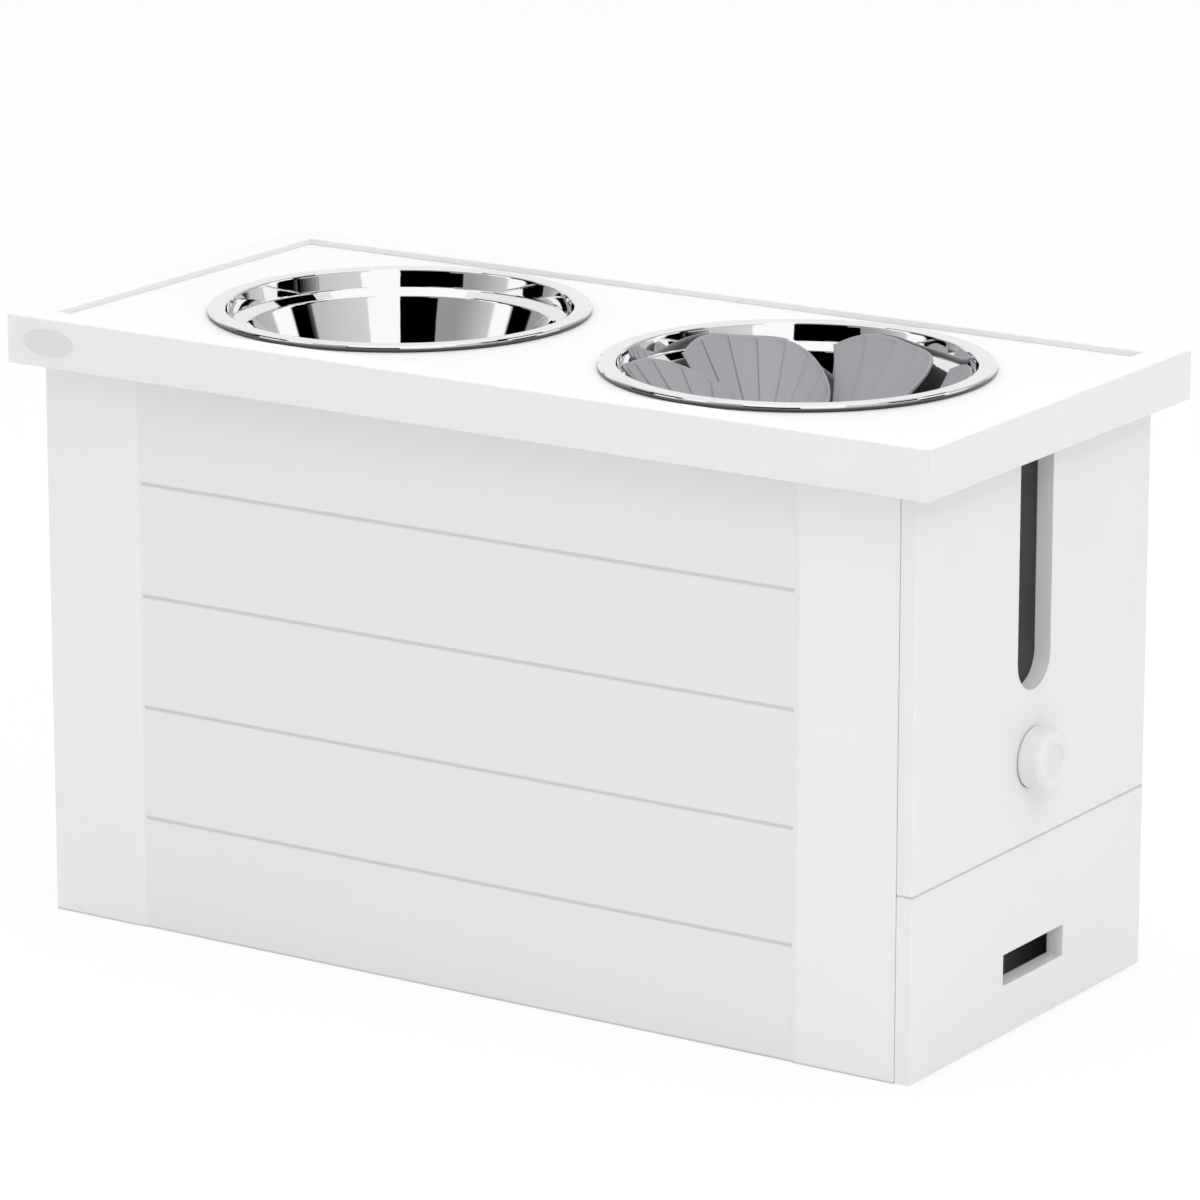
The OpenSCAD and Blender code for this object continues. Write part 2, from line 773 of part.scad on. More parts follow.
// Spline across a mitre, at the corner given by the two signs
module spline_at(sx, sy, gap = 0) {
    translate([sx * (lx - edge_board_w / 2), sy * (ly - edge_board_w / 2), spline_z - gap])
        rotate([0, 0, sx * sy * 45]) translate([-spline_w / 2 - gap, -spline_l / 2 - gap, 0])
            cube([spline_w + 2 * gap, spline_l + 2 * gap, spline_t + 2 * gap]);
}

module spline_cuts() {
    for (sx = [-1, 1]) for (sy = [-1, 1]) spline_at(sx, sy, fit_gap);
}

module mitre_splines() {
    color(raw_wood) for (sx = [-1, 1]) for (sy = [-1, 1]) spline_at(sx, sy);
}

batten_x0 = bowl_shift - batten_w / 2;
batten_reach = ly - edge_board_w - 1;
batten_screw_l = 20;
batten_screw_places = [
    for (x = [-1, 1]) for (y = [-1, 1]) [bowl_shift + x * batten_w / 4, y * batten_reach * 2 / 3, batten_z0]
];

module batten_screw_hole_at(p) {
    screw_hole_at(p, [0, 0, 1], batten_screw_l);
}

module lid_batten() {
    color(raw_wood) difference() {
        board([batten_x0, -batten_reach, batten_z0], [batten_x0 + batten_w, batten_reach, panel_z0]);
        for (p = batten_screw_places) batten_screw_hole_at(p);
    }
}

module lid_batten_screws() {
    color(zinc) for (p = batten_screw_places) screw_at(p, [0, 0, 1], batten_screw_l);
}

// ---- hinges -------------------------------------------------------------

pin_y = y1 + 3.5;
pin_z = lid_z0 - 3.5;
leaf_w = 13.5;
knuckle_half = hinge_l / 6;
knuckle_gap = 0.3;
hinge_screw_fixed_l = 8;
hinge_screw_moving_l = 14;
hinge_fixed_screws = [
    for (h = [-hinge_x, hinge_x]) for (s = [-1, 1]) [h + s * hinge_l / 3, y1 + leaf_t, pin_z - leaf_w * 0.62]
];
hinge_moving_screws = [
    for (h = [-hinge_x, hinge_x]) for (s = [-1, 1])
        [h + s * hinge_l / 3, pin_y + leaf_w * 0.62, lid_z0 - leaf_t]
];

module hinge_screw_cuts() {
    for (p = hinge_fixed_screws) screw_hole_at(p, [0, -1, 0], hinge_screw_fixed_l);
}

module lid_hinge_screw_cuts() {
    for (p = hinge_moving_screws) screw_hole_at(p, [0, 0, 1], hinge_screw_moving_l);
}

module hinge_leaves_fixed() {
    color(zinc) difference() {
        for (h = [-hinge_x, hinge_x]) {
            box([h - hinge_l / 2, y1, pin_z - leaf_w],
                [h + hinge_l / 2, y1 + leaf_t, pin_z - barrel_r - 0.5]);
            for (s = [-1, 1]) {
                a = s > 0 ? h + knuckle_half + knuckle_gap : h - hinge_l / 2;
                b = s > 0 ? h + hinge_l / 2 : h - knuckle_half - knuckle_gap;
                translate([a, pin_y, pin_z]) rotate([0, 90, 0]) cylinder(h = b - a, r = barrel_r);
                box([a, y1, pin_z - leaf_w], [b, y1 + leaf_t, pin_z]);
                box([a, y1, pin_z - 0.6], [b, pin_y - hinge_pin_d / 2 - 0.4, pin_z + 0.6]);
            }
        }
        hinge_bore_cuts();
        hinge_screw_cuts();
    }
}

module hinge_leaves_moving() {
    color(zinc) difference() {
        for (h = [-hinge_x, hinge_x]) {
            box([h - hinge_l / 2, pin_y + barrel_r + 0.5, lid_z0 - leaf_t],
                [h + hinge_l / 2, pin_y + leaf_w, lid_z0]);
            translate([h - knuckle_half, pin_y, pin_z]) rotate([0, 90, 0])
                cylinder(h = 2 * knuckle_half, r = barrel_r);
            box([h - knuckle_half, pin_y, lid_z0 - leaf_t], [h + knuckle_half, pin_y + leaf_w, lid_z0]);
            box([h - knuckle_half, pin_y - 0.6, pin_z + hinge_pin_d / 2 + 0.4],
                [h + knuckle_half, pin_y + 0.6, lid_z0]);
        }
        hinge_bore_cuts();
        lid_hinge_screw_cuts();
    }
}

module hinge_pin_at(h, gap = 0, longer = 0) {
    translate([h - hinge_l / 2 - longer, pin_y, pin_z]) rotate([0, 90, 0])
        cylinder(h = hinge_l + 2 * longer, d = hinge_pin_d + 2 * gap);
}

module hinge_bore_cuts() {
    for (h = [-hinge_x, hinge_x]) hinge_pin_at(h, fit_gap, past);
}

module hinge_pins() {
    head = 0.8;
    color(steel) for (h = [-hinge_x, hinge_x]) {
        hinge_pin_at(h);
        for (a = [h - hinge_l / 2 - head, h + hinge_l / 2])
            translate([a, pin_y, pin_z]) rotate([0, 90, 0]) cylinder(h = head, d = hinge_pin_d + 1.2);
    }
}

module hinge_screws_fixed() {
    color(zinc) for (p = hinge_fixed_screws) screw_at(p, [0, -1, 0], hinge_screw_fixed_l);
}

module hinge_screws_moving() {
    color(zinc) for (p = hinge_moving_screws) screw_at(p, [0, 0, 1], hinge_screw_moving_l);
}

// ---- bowls --------------------------------------------------------------

// Points on an arc, from angle a0 to a1
function arc(c, r, a0, a1, n) =
    [for (i = [0 : n]) let (a = a0 + (a1 - a0) * i / n) c + r * [cos(a), sin(a)]];

function unit(v) = v / norm(v);

// The same path moved sideways by t, to the right of its direction
function beside(path, t) = [
    for (i = [0 : len(path) - 1])
        let (a = path[max(i - 1, 0)], b = path[min(i + 1, len(path) - 1)], d = unit(b - a))
            path[i] + t * [d[1], -d[0]]
];

function reversed(path) = [for (i = [len(path) - 1 : -1 : 0]) path[i]];

roll_r = rim_stand / 2;
corner_r = 2.2;
step_in_r = 2;
step_out_r = 3;
foot_r = 9;

// Upper face of the bowl's sheet, from the rolled edge to the middle: [radius, height over the top panel]
function bowl_path() =
    let (lean = upper_wall_lean, fall = atan2(step_fall, step_w),
         rim = [bowl_wall_r, rim_stand - corner_r],
         in_z = rim_stand - upper_wall_h + step_in_r,
         inner = [rim[0] - (corner_r + step_in_r + (rim[1] - in_z) * sin(lean)) / cos(lean), in_z],
         out_x = inner[0] + step_in_r - step_w + step_out_r,
         outer = [out_x, in_z - (step_in_r + step_out_r + (inner[0] - out_x) * sin(fall)) / cos(fall)],
         foot = [bottom_r, rim_stand - bowl_depth + foot_r],
         d = outer - foot,
         lower_lean = atan2(d[0], d[1]) - asin((step_out_r + foot_r) / norm(d)))
    concat(
        arc([bowl_d / 2 - roll_r, roll_r], roll_r, -150, 90, 12),
        arc(rim, corner_r, 90, 180 - lean, 5),
        arc(inner, step_in_r, -lean, fall - 90, 4),
        arc(outer, step_out_r, 90 + fall, 180 - lower_lean, 4),
        arc(foot, foot_r, -lower_lean, -90, 6),
        [[0, rim_stand - bowl_depth]]
    );

module bowl_at(x) {
    path = bowl_path();
    // The lower face, with its last point kept on the axis
    under = [for (p = beside(path, -sheet_t)) [max(p[0], 0), p[1]]];
    color(steel) translate([x, yc, top_z]) rotate_extrude($fn = 96) polygon(concat(path, reversed(under)));
}

module bowl_left() { bowl_at(bowl_x[0]); }

module bowl_right() { bowl_at(bowl_x[1]); }

// ---- slow feeder insert -------------------------------------------------

insert_z0 = lid_z1 - bowl_depth;
petal_foot_z = insert_z0 + insert_base_t;
fan_z = petal_foot_z - fan_drop;
// The tip lies on the petal's axis, which the twist turns away from the radius
tip_r = bowl_wall_r - corner_r - petal_play;
petal_w = 2 * tip_r * sin(180 / petal_count) - petal_gap;
tip_run = tip_r / cos(petal_twist) - fan_r - petal_play;
tip_rise = lid_z1 - petal_drop - fan_z;
petal_l = norm([tip_run, tip_rise]);
petal_lean = atan2(tip_run, tip_rise);
petal_foot_d = fan_drop / cos(petal_lean);
petal_rows = 6;
pleat_parts = 2;
lip = 0.8;
cup_rate = petal_cup / pow(petal_w / 2, 2);
curl_rate = petal_curl / pow(petal_l / 2, 2);

// Reach of the sheet at angle a from the outline's axis: a rounded outline
function petal_reach(a) =
    pow(pow(abs(sin(a)) / (petal_w / 2), petal_square) + pow(cos(a) / petal_l, petal_square),
        -1 / petal_square);

// Point of a petal at angle a, distance d along the sheet, and standing forward of it
function petal_point(a, d, forward) =
    let (u = d * cos(a + petal_roll), v = d * sin(a + petal_roll),
         off = cup_rate * v * v + curl_rate * pow(u - petal_l / 2, 2) + forward,
         x = u * sin(petal_lean) - off * cos(petal_lean))
    [fan_r + x * cos(petal_twist) + v * sin(petal_twist),
     fan_shift - x * sin(petal_twist) + v * cos(petal_twist),
     fan_z + u * cos(petal_lean) + off * sin(petal_lean)];

// Point of a petal's foot, set down on the base disc
function foot_point(a, forward) =
    let (p = petal_point(a, petal_foot_d / cos(a + petal_roll), forward)) [p[0], p[1], petal_foot_z];

// Angles of the columns: the back has them all, and the front has each pleat's own edge twice
side_angles = [for (i = [0 : pleats * pleat_parts]) fan_angle * i / (pleats * pleat_parts) - fan_start];
front_columns = [for (k = [0 : pleats - 1]) for (e = [0 : pleat_parts])
    [k * pleat_parts + e, pleat_step * e / pleat_parts]];

// Triangles with three different corners
function sound(tris) = [for (t = tris) if (t[0] != t[1] && t[1] != t[2] && t[2] != t[0]) t];

// One petal as a closed shell: pleats in front, a smooth back, and rims between them
module petal() {
    m = petal_rows + 1;
    n = len(front_columns);
    feet = len(side_angles);
    function reach(a, j, end) =
        let (d0 = petal_foot_d / cos(a + petal_roll)) d0 + (petal_reach(a) - end - d0) * j / petal_rows;
    front_feet = [for (a = side_angles) foot_point(a, 0)];
    front = [for (c = front_columns) let (a = side_angles[c[0]]) for (j = [1 : petal_rows])
        petal_point(a, reach(a, j, 0), c[1])];
    back = [for (a = side_angles) for (j = [0 : petal_rows])
        j == 0 ? foot_point(a, -1.5 * petal_t) : petal_point(a, reach(a, j, lip), -petal_t)];
    // Index of a point on the front's column i, and on the back's column behind it
    function f(i, j) = j == 0 ? front_columns[i][0] : feet + i * petal_rows + j - 1;
    function b(i, j) = feet + n * petal_rows + front_columns[i][0] * m + j;
    polyhedron(concat(front_feet, front, back), sound(concat(
        [for (i = [0 : n - 2]) for (j = [0 : m - 2]) each [
            [f(i, j), f(i, j + 1), f(i + 1, j + 1)], [f(i, j), f(i + 1, j + 1), f(i + 1, j)],
            [b(i, j), b(i + 1, j + 1), b(i, j + 1)], [b(i, j), b(i + 1, j), b(i + 1, j + 1)]]],
        [for (j = [0 : m - 2]) each [
            [f(0, j), b(0, j + 1), f(0, j + 1)], [f(0, j), b(0, j), b(0, j + 1)],
            [f(n - 1, j), f(n - 1, j + 1), b(n - 1, j + 1)], [f(n - 1, j), b(n - 1, j + 1), b(n - 1, j)]]],
        [for (i = [0 : n - 2]) each [
            [f(i, 0), f(i + 1, 0), b(i, 0)], [f(i + 1, 0), b(i + 1, 0), b(i, 0)],
            [f(i, m - 1), b(i, m - 1), f(i + 1, m - 1)], [f(i + 1, m - 1), b(i, m - 1), b(i + 1, m - 1)]]]
    )));
}

module insert_base() {
    color(grey_plastic) translate([bowl_x[1], yc, insert_z0])
        cylinder(h = insert_base_t, r = fan_r + insert_base_margin);
}

module insert_petals() {
    color(grey_plastic) translate([bowl_x[1], yc, 0])
        for (k = [0 : petal_count - 1]) rotate([0, 0, petal_phase + 360 * k / petal_count]) petal();
}

// ---- drawer -------------------------------------------------------------

box_y0 = yi0 + drawer_play;
box_y1 = yi1 - drawer_play;
box_z0 = board_t + 0.3;
box_z1 = box_z0 + drawer_side_h;
box_x0 = partition_x + 2 * drawer_play;
side_x0 = box_x0 + drawer_side_t;
inner_front_x1 = xi1 - finger_space;
inner_front_x0 = inner_front_x1 - drawer_side_t;
groove_z = box_z0 + 6;
groove_in = 4;
drawer_screw_l = 24;
drawer_cam_h = 6;
drawer_cams = [
    for (z = [box_z0 + drawer_side_h / 3, box_z1 - drawer_side_h / 5]) for (s = [0, 1])
        [[xi1 - cam_reach, s == 0 ? box_y0 + drawer_side_t : box_y1 - drawer_side_t, z],
         [0, s == 0 ? 1 : -1, 0], [1, 0, 0]]
];
// Screws: [place of the head, direction]
drawer_screw_list = concat(
    [for (y = [box_y0, box_y1]) for (z = [box_z0 + drawer_side_h / 4, box_z1 - drawer_side_h / 4])
        [[box_x0, y + (y < 0 ? 1 : -1) * drawer_side_t / 2, z], [1, 0, 0]]],
    [for (y = [box_y0, box_y1]) for (z = [box_z0 + drawer_side_h / 4, box_z1 - drawer_side_h / 4])
        [[(inner_front_x0 + inner_front_x1) / 2, y, z], [0, y < 0 ? 1 : -1, 0]]]
);

module drawer_cam_bolt_at(c, gap = 0, longer = 0) {
    start = c[0] - c[1] * drawer_side_t / 2 + c[2] * (cam_d / 4 - longer);
    translate(start) pointing(c[2]) cylinder(h = cam_bolt_l + longer, d = cam_bolt_d - 1 + 2 * gap);
}

module drawer_fastener_cuts() {
    for (c = drawer_cams) {
        cam_pocket_at(c[0], c[1], drawer_cam_h);
        drawer_cam_bolt_at(c, fit_gap, fit_gap);
    }
    for (s = drawer_screw_list) screw_hole_at(s[0], s[1], drawer_screw_l);
}

// Groove for the drawer's bottom, in whichever board it reaches
module drawer_bottom_shape(gap) {
    box([side_x0 - groove_in - gap, box_y0 + drawer_side_t - groove_in - gap, groove_z - gap],
        [inner_front_x0 + groove_in + gap, box_y1 - drawer_side_t + groove_in + gap,
         groove_z + drawer_bottom_t + gap]);
}

module drawer_front() {
    color(paint_white) difference() {
        board([xi1, y0, floor_gap], [x1, y1, drawer_front_z1]);
        box([xi1 - past, yc - finger_hole_w / 2 + finger_hole_shift, finger_hole_z],
            [x1 + past, yc + finger_hole_w / 2 + finger_hole_shift, finger_hole_z + finger_hole_h]);
        drawer_fastener_cuts();
    }
}

module drawer_side(ya, yb) {
    color(raw_board) difference() {
        board([side_x0, ya, box_z0], [xi1, yb, box_z1]);
        drawer_bottom_shape(fit_gap);
        drawer_fastener_cuts();
    }
}

module drawer_side_front() { drawer_side(box_y0, box_y0 + drawer_side_t); }

module drawer_side_back() { drawer_side(box_y1 - drawer_side_t, box_y1); }

module drawer_inner_front() {
    color(raw_board) difference() {
        board([inner_front_x0, box_y0 + drawer_side_t, box_z0],
              [inner_front_x1, box_y1 - drawer_side_t, box_z1]);
        drawer_bottom_shape(fit_gap);
        drawer_fastener_cuts();
    }
}

module drawer_end() {
    color(raw_board) difference() {
        board([box_x0, box_y0, box_z0], [side_x0, box_y1, box_z1]);
        drawer_bottom_shape(fit_gap);
        drawer_fastener_cuts();
    }
}

module drawer_bottom() {
    color(raw_wood) drawer_bottom_shape(0);
}

module drawer_cam_locks() {
    color(zinc) for (c = drawer_cams) difference() {
        translate(c[0]) pointing(-c[1]) cylinder(h = drawer_cam_h, d = cam_d);
        translate(c[0]) pointing(-c[1]) translate([0, 0, -past]) linear_extrude(past + 1.2) {
            square([cam_d * 0.5, 1.4], center = true);
            square([1.4, cam_d * 0.5], center = true);
        }
        drawer_cam_bolt_at(c, fit_gap + 0.1, fit_gap + 0.2);
    }
}

module drawer_cam_bolts() {
    color(zinc) for (c = drawer_cams) drawer_cam_bolt_at(c);
}

module drawer_screws() {
    color(zinc) for (s = drawer_screw_list) screw_at(s[0], s[1], drawer_screw_l);
}

// ---- groups of cabinet fasteners ----------------------------------------

module cam_locks() {
    color(zinc) for (c = cabinet_cams) cam_at(c[0], c[1], c[2]);
}

module cam_bolts() {
    color(zinc) for (c = cabinet_cams) cam_bolt_at(c[0], c[1], c[2]);
}

module dowels() {
    color(raw_wood) for (p = cabinet_dowels) dowel_at(p);
}

module back_panel_screws() {
    color(zinc) for (p = back_screws) screw_at(p, [0, -1, 0], back_screw_l);
}

front_panel();
back_panel();
left_side_panel();
right_side_panel();
bottom_board();
partition();
hopper_deck();
deck_battens();
hopper_ramp_left();
hopper_ramp_right();
hopper_ramp_front();
hopper_ramp_back();
gate_guide_front();
gate_guide_back();
gate_guide_screws();
window_pane();
window_screws();
cam_locks();
cam_bolts();
dowels();
back_panel_screws();
hinge_leaves_fixed();
hinge_pins();
hinge_screws_fixed();
lid_top_panel();
lid_edge_front();
lid_edge_back();
lid_edge_left();
lid_edge_right();
mitre_splines();
lid_batten();
lid_batten_screws();
hinge_leaves_moving();
hinge_screws_moving();
bowl_left();
bowl_right();
insert_base();
insert_petals();
drawer_front();
drawer_side_front();
drawer_side_back();
drawer_inner_front();
drawer_end();
drawer_bottom();
drawer_cam_locks();
drawer_cam_bolts();
drawer_screws();
gate_plate();
gate_rod();
pull_knob();
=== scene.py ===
"""Elevated dog feeder with storage: finishes, small fittings, camera and light."""
import json
import math

import bmesh
import bpy
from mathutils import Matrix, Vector


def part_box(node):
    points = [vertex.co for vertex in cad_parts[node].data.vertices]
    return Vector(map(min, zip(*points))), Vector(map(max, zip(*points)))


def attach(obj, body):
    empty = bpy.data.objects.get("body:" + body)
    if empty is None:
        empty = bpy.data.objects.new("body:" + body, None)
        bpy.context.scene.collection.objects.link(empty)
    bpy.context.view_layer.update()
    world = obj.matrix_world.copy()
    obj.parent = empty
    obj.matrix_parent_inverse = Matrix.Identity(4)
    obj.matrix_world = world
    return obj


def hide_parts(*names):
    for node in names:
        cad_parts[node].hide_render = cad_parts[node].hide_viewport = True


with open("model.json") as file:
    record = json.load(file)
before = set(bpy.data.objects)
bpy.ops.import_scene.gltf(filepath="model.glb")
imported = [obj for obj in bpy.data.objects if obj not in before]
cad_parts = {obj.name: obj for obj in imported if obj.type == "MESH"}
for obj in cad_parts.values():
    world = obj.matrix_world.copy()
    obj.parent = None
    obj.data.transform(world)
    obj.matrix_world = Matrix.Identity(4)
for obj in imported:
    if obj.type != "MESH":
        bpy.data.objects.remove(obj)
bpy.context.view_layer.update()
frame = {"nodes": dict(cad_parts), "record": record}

MM = 0.001
WELD = 1e-7
scene = bpy.context.scene

# ---- places and sizes on the feeder that finishes and fittings go by, in millimetres ----
# a bowl's centre is (x, y) and the knob's axis is (y, z)
LID_FRONT_Y = -151.0
FIELD_Y = -134.5
BOWL_LEFT_CENTRE = (-137.5, -1.5)
BOWL_RIGHT_CENTRE = (143.5, -1.5)
BOWL_WALL_R = 107.0
BOWL_CORNER_R = 2.2
KNOB_AXIS = (-1.5, 161.8)
PETAL_COUNT = 6

# ---- camera: turn and rise in degrees, target and distance in millimetres ----
CAMERA_TURN = 33.265
CAMERA_RISE = 14.850
CAMERA_TARGET = (6.81, -1.5, 211.66)
CAMERA_DISTANCE = 3789.5
CAMERA_LENS = 190.233

# ---- the world's strength as it lights and as it is seen, and the share of glow in the floor ----
WORLD_LIGHT = 0.83
WORLD_SEEN = 1.0
FLOOR_GLOW = 0.86

# Turn from the camera's direction, and brightness there, of the wall that bright steel reflects
WALL_TONES = (
    (-180, 0.88), (-136, 0.84), (-128, 0.36), (-112, 0.30), (-111, 0.0), (-92, 0.0), (-91, 1.0), (-77, 1.0),
    (-75, 0.60), (-58, 0.40), (-47, 0.31), (0, 0.31), (1, 1.0), (27, 1.0), (28, 0.66), (73, 0.52), (74, 0.12),
    (78, 0.0), (92, 0.0), (93, 1.0), (110, 1.0), (112, 0.5), (134, 0.42), (150, 0.84), (180, 0.88),
)


# ---- node helpers ----------------------------------------------------------------
class Tree:
    """Short calls that both kinds of node tree share."""

    def node(self, kind, **inputs):
        made = self.tree.nodes.new(kind)
        for key, value in inputs.items():
            self.feed(made.inputs[key.replace("_", " ")], value)
        return made

    def feed(self, socket, value):
        """Links a socket or a formula to an input, or sets a plain value on it."""
        value = value.socket if isinstance(value, Term) else value
        if isinstance(value, bpy.types.NodeSocket):
            self.tree.links.new(value, socket)
        else:
            socket.default_value = value


class Recipe(Tree):
    """A material's node tree, with short calls for the few nodes the finishes need."""

    def __init__(self, name):
        self.material = bpy.data.materials.new(name)
        self.material.use_nodes = True
        self.tree = self.material.node_tree
        self.shader = next(n for n in self.tree.nodes if n.type == "BSDF_PRINCIPLED")
        self.output = next(n for n in self.tree.nodes if n.type == "OUTPUT_MATERIAL")
        self.place = None

    def here(self, scale=None):
        """The piece's own coordinates, stretched where a scale is given."""
        if self.place is None:
            self.place = self.node("ShaderNodeTexCoord").outputs["Object"]
        if scale is None:
            return self.place
        return self.node("ShaderNodeMapping", Vector=self.place, Scale=scale).outputs["Vector"]

    def noise(self, scale, detail=2.0, rough=0.5, where=None, distort=0.0):
        return self.node("ShaderNodeTexNoise", Vector=where or self.here(), Scale=scale, Detail=detail,
                         Roughness=rough, Distortion=distort).outputs["Fac"]

    def span(self, value, low, high, out_low, out_high):
        """Maps low..high to out_low..out_high and holds the ends."""
        made = self.node("ShaderNodeMapRange", Value=value)
        for index, number in zip((1, 2, 3, 4), (low, high, out_low, out_high)):
            made.inputs[index].default_value = number
        return made.outputs["Result"]

    def math(self, kind, a, b=0.0):
        made = self.tree.nodes.new("ShaderNodeMath")
        made.operation = kind
        for socket, value in zip(made.inputs, (a, b)):
            self.feed(socket, value)
        return made.outputs[0]

    def blend(self, share, a, b):
        """Colour a, with a share of colour b."""
        made = self.tree.nodes.new("ShaderNodeMix")
        made.data_type = "RGBA"
        self.feed(made.inputs["Factor"], share)
        self.feed(made.inputs[6], a)
        self.feed(made.inputs[7], b)
        return made.outputs[2]

    def ramp(self, value, *stops):
        """A colour ramp from (position, colour) stops in rising order."""
        made = self.node("ShaderNodeValToRGB", Fac=value)
        elements = made.color_ramp.elements
        for element, (at, colour) in zip(elements, (stops[0], stops[-1])):
            element.position = at
            element.color = colour
        for at, colour in stops[1:-1]:
            elements.new(at).color = colour
        return made.outputs["Color"]

    def bump(self, height, strength, distance, after=None):
        made = self.node("ShaderNodeBump", Height=height, Strength=strength, Distance=distance)
        if after is not None:
            self.feed(made.inputs["Normal"], after)
        return made.outputs["Normal"]

    def finish(self, **sockets):
        """Sets the shader's inputs and gives back the material."""
        for key, value in sockets.items():
            self.feed(self.shader.inputs[key.replace("_", " ")], value)
        return self.material


class Term:
    """A number inside a node tree, so that a formula is written with plain signs."""

    def __init__(self, tree, socket):
        self.tree, self.socket = tree, socket

    def math(self, kind, *others, first=None):
        made = self.tree.nodes.new("ShaderNodeMath")
        made.operation = kind
        terms = [self, *others] if first is None else [first, self]
        for socket, value in zip(made.inputs, terms):
            if isinstance(value, Term):
                self.tree.links.new(value.socket, socket)
            else:
                socket.default_value = value
        return Term(self.tree, made.outputs[0])

    def __add__(self, other):
        return self.math("ADD", other)

    def __sub__(self, other):
        return self.math("SUBTRACT", other)

    def __rsub__(self, other):
        return self.math("SUBTRACT", first=other)

    def __mul__(self, other):
        return self.math("MULTIPLY", other)

    def __truediv__(self, other):
        return self.math("DIVIDE", other)

    def __rtruediv__(self, other):
        return self.math("DIVIDE", first=other)

    def __pow__(self, other):
        return self.math("POWER", other)

    __radd__ = __add__
    __rmul__ = __mul__


class Grower(Tree):
    """A Geometry Nodes tree that makes one piece from its named sizes."""

    def __init__(self, name, **sizes):
        self.name, self.sizes = name, sizes
        self.tree = bpy.data.node_groups.new(name, "GeometryNodeTree")
        self.tree.interface.new_socket("Geometry", in_out="OUTPUT", socket_type="NodeSocketGeometry")
        kinds = {int: "NodeSocketInt", float: "NodeSocketFloat"}
        self.keys = {}
        for label, value in sizes.items():
            kind = kinds.get(type(value), "NodeSocketMaterial")
            socket = self.tree.interface.new_socket(label, in_out="INPUT", socket_type=kind)
            self.keys[label] = socket.identifier
        self.given = self.tree.nodes.new("NodeGroupInput")

    def size(self, label):
        return Term(self.tree, self.given.outputs[label])

    def split(self, vector):
        made = self.node("ShaderNodeSeparateXYZ", Vector=vector)
        return [Term(self.tree, socket) for socket in made.outputs]

    def joined(self, x, y, z):
        return self.node("ShaderNodeCombineXYZ", X=x, Y=y, Z=z).outputs[0]

    def grow(self, geometry, smooth=35.0):
        """Ends the tree, runs it and returns a plain mesh with outward faces."""
        real = self.node("GeometryNodeRealizeInstances", Geometry=geometry)
        dressed = self.node("GeometryNodeSetMaterial", Geometry=real.outputs[0], Material=self.size("Finish"))
        out = self.tree.nodes.new("NodeGroupOutput")
        self.tree.links.new(dressed.outputs[0], out.inputs[0])
        holder = bpy.data.objects.new(self.name, bpy.data.meshes.new(self.name + "_seed"))
        scene.collection.objects.link(holder)
        modifier = holder.modifiers.new(self.name, "NODES")
        modifier.node_group = self.tree
        for label, value in self.sizes.items():
            modifier[self.keys[label]] = value
        grown = holder.evaluated_get(bpy.context.evaluated_depsgraph_get())
        mesh = bpy.data.meshes.new_from_object(grown)
        holder.modifiers.clear()
        bpy.data.objects.remove(holder)
        shape = bmesh.new()
        shape.from_mesh(mesh)
        write_mesh(shape, mesh, smooth)
        return mesh


def write_mesh(shape, mesh, smooth):
    """Merges doubled points, turns faces outwards and shades by an angle in degrees, or flat for None."""
    bmesh.ops.remove_doubles(shape, verts=shape.verts, dist=WELD)
    bmesh.ops.recalc_face_normals(shape, faces=shape.faces)
    for face in shape.faces:
        face.smooth = smooth is not None
    shape.to_mesh(mesh)
    shape.free()
    if smooth is not None:
        mesh.set_sharp_from_angle(angle=math.radians(smooth))


def grey(value, warm=0.0):
    """A grey of the given value, a little warmer where warm is above zero."""
    return (value * (1 + warm), value, value * (1 - warm), 1.0)


# ---- finishes --------------------------------------------------------------------
def satin_lacquer(name, value, warm=0.0, gloss=0.42, sunk_y=None):
    """Sprayed white lacquer on board: faint orange peel and cloudiness, a slightly darker sunk field,
    and painted shade in grey along the edge that stands on the floor."""
    # in metres: how far before the field's face its darker tone starts and is full, and how high the painted
    # shade at the foot reaches
    field_start, field_full = 0.0005, 0.0001
    foot_shade_full, foot_shade_end = 0.0007, 0.0015
    r = Recipe(name)
    cloud = r.noise(7.0, 3.0, 0.55)
    speck = r.noise(900.0, 1.0)
    colour = r.ramp(cloud, (0.3, grey(value * 0.985, warm)), (0.7, grey(value, warm)))
    colour = r.blend(r.span(speck, 0.2, 0.8, 0.0, 0.05), colour, grey(value * 0.9, warm))
    split = r.node("ShaderNodeSeparateXYZ", Vector=r.here()).outputs
    # the sunk field's colour is a little darker than the stiles'
    if sunk_y is not None:
        sunk = r.span(split[1], sunk_y - field_start, sunk_y - field_full, 0.0, 1.0)
        colour = r.blend(sunk, colour, grey(value * 0.95, warm))
    # painted shade: a grey line along the foot of each board, where it meets the floor
    painted_foot_shade = r.math("MULTIPLY", r.span(split[2], foot_shade_full, foot_shade_end, 1.0, 0.0),
                   r.span(cloud, 0.3, 0.7, 0.6, 1.0))
    colour = r.blend(painted_foot_shade, colour, grey(value * 0.62, warm))
    peel = r.noise(330.0, 1.5, 0.4)
    return r.finish(
        Base_Color=colour,
        Roughness=r.span(r.noise(26.0, 2.0), 0.3, 0.7, gloss - 0.04, gloss + 0.05),
        Specular_IOR_Level=0.35,
        Normal=r.bump(peel, 0.06, 0.0004, r.bump(cloud, 0.03, 0.002)),
    )


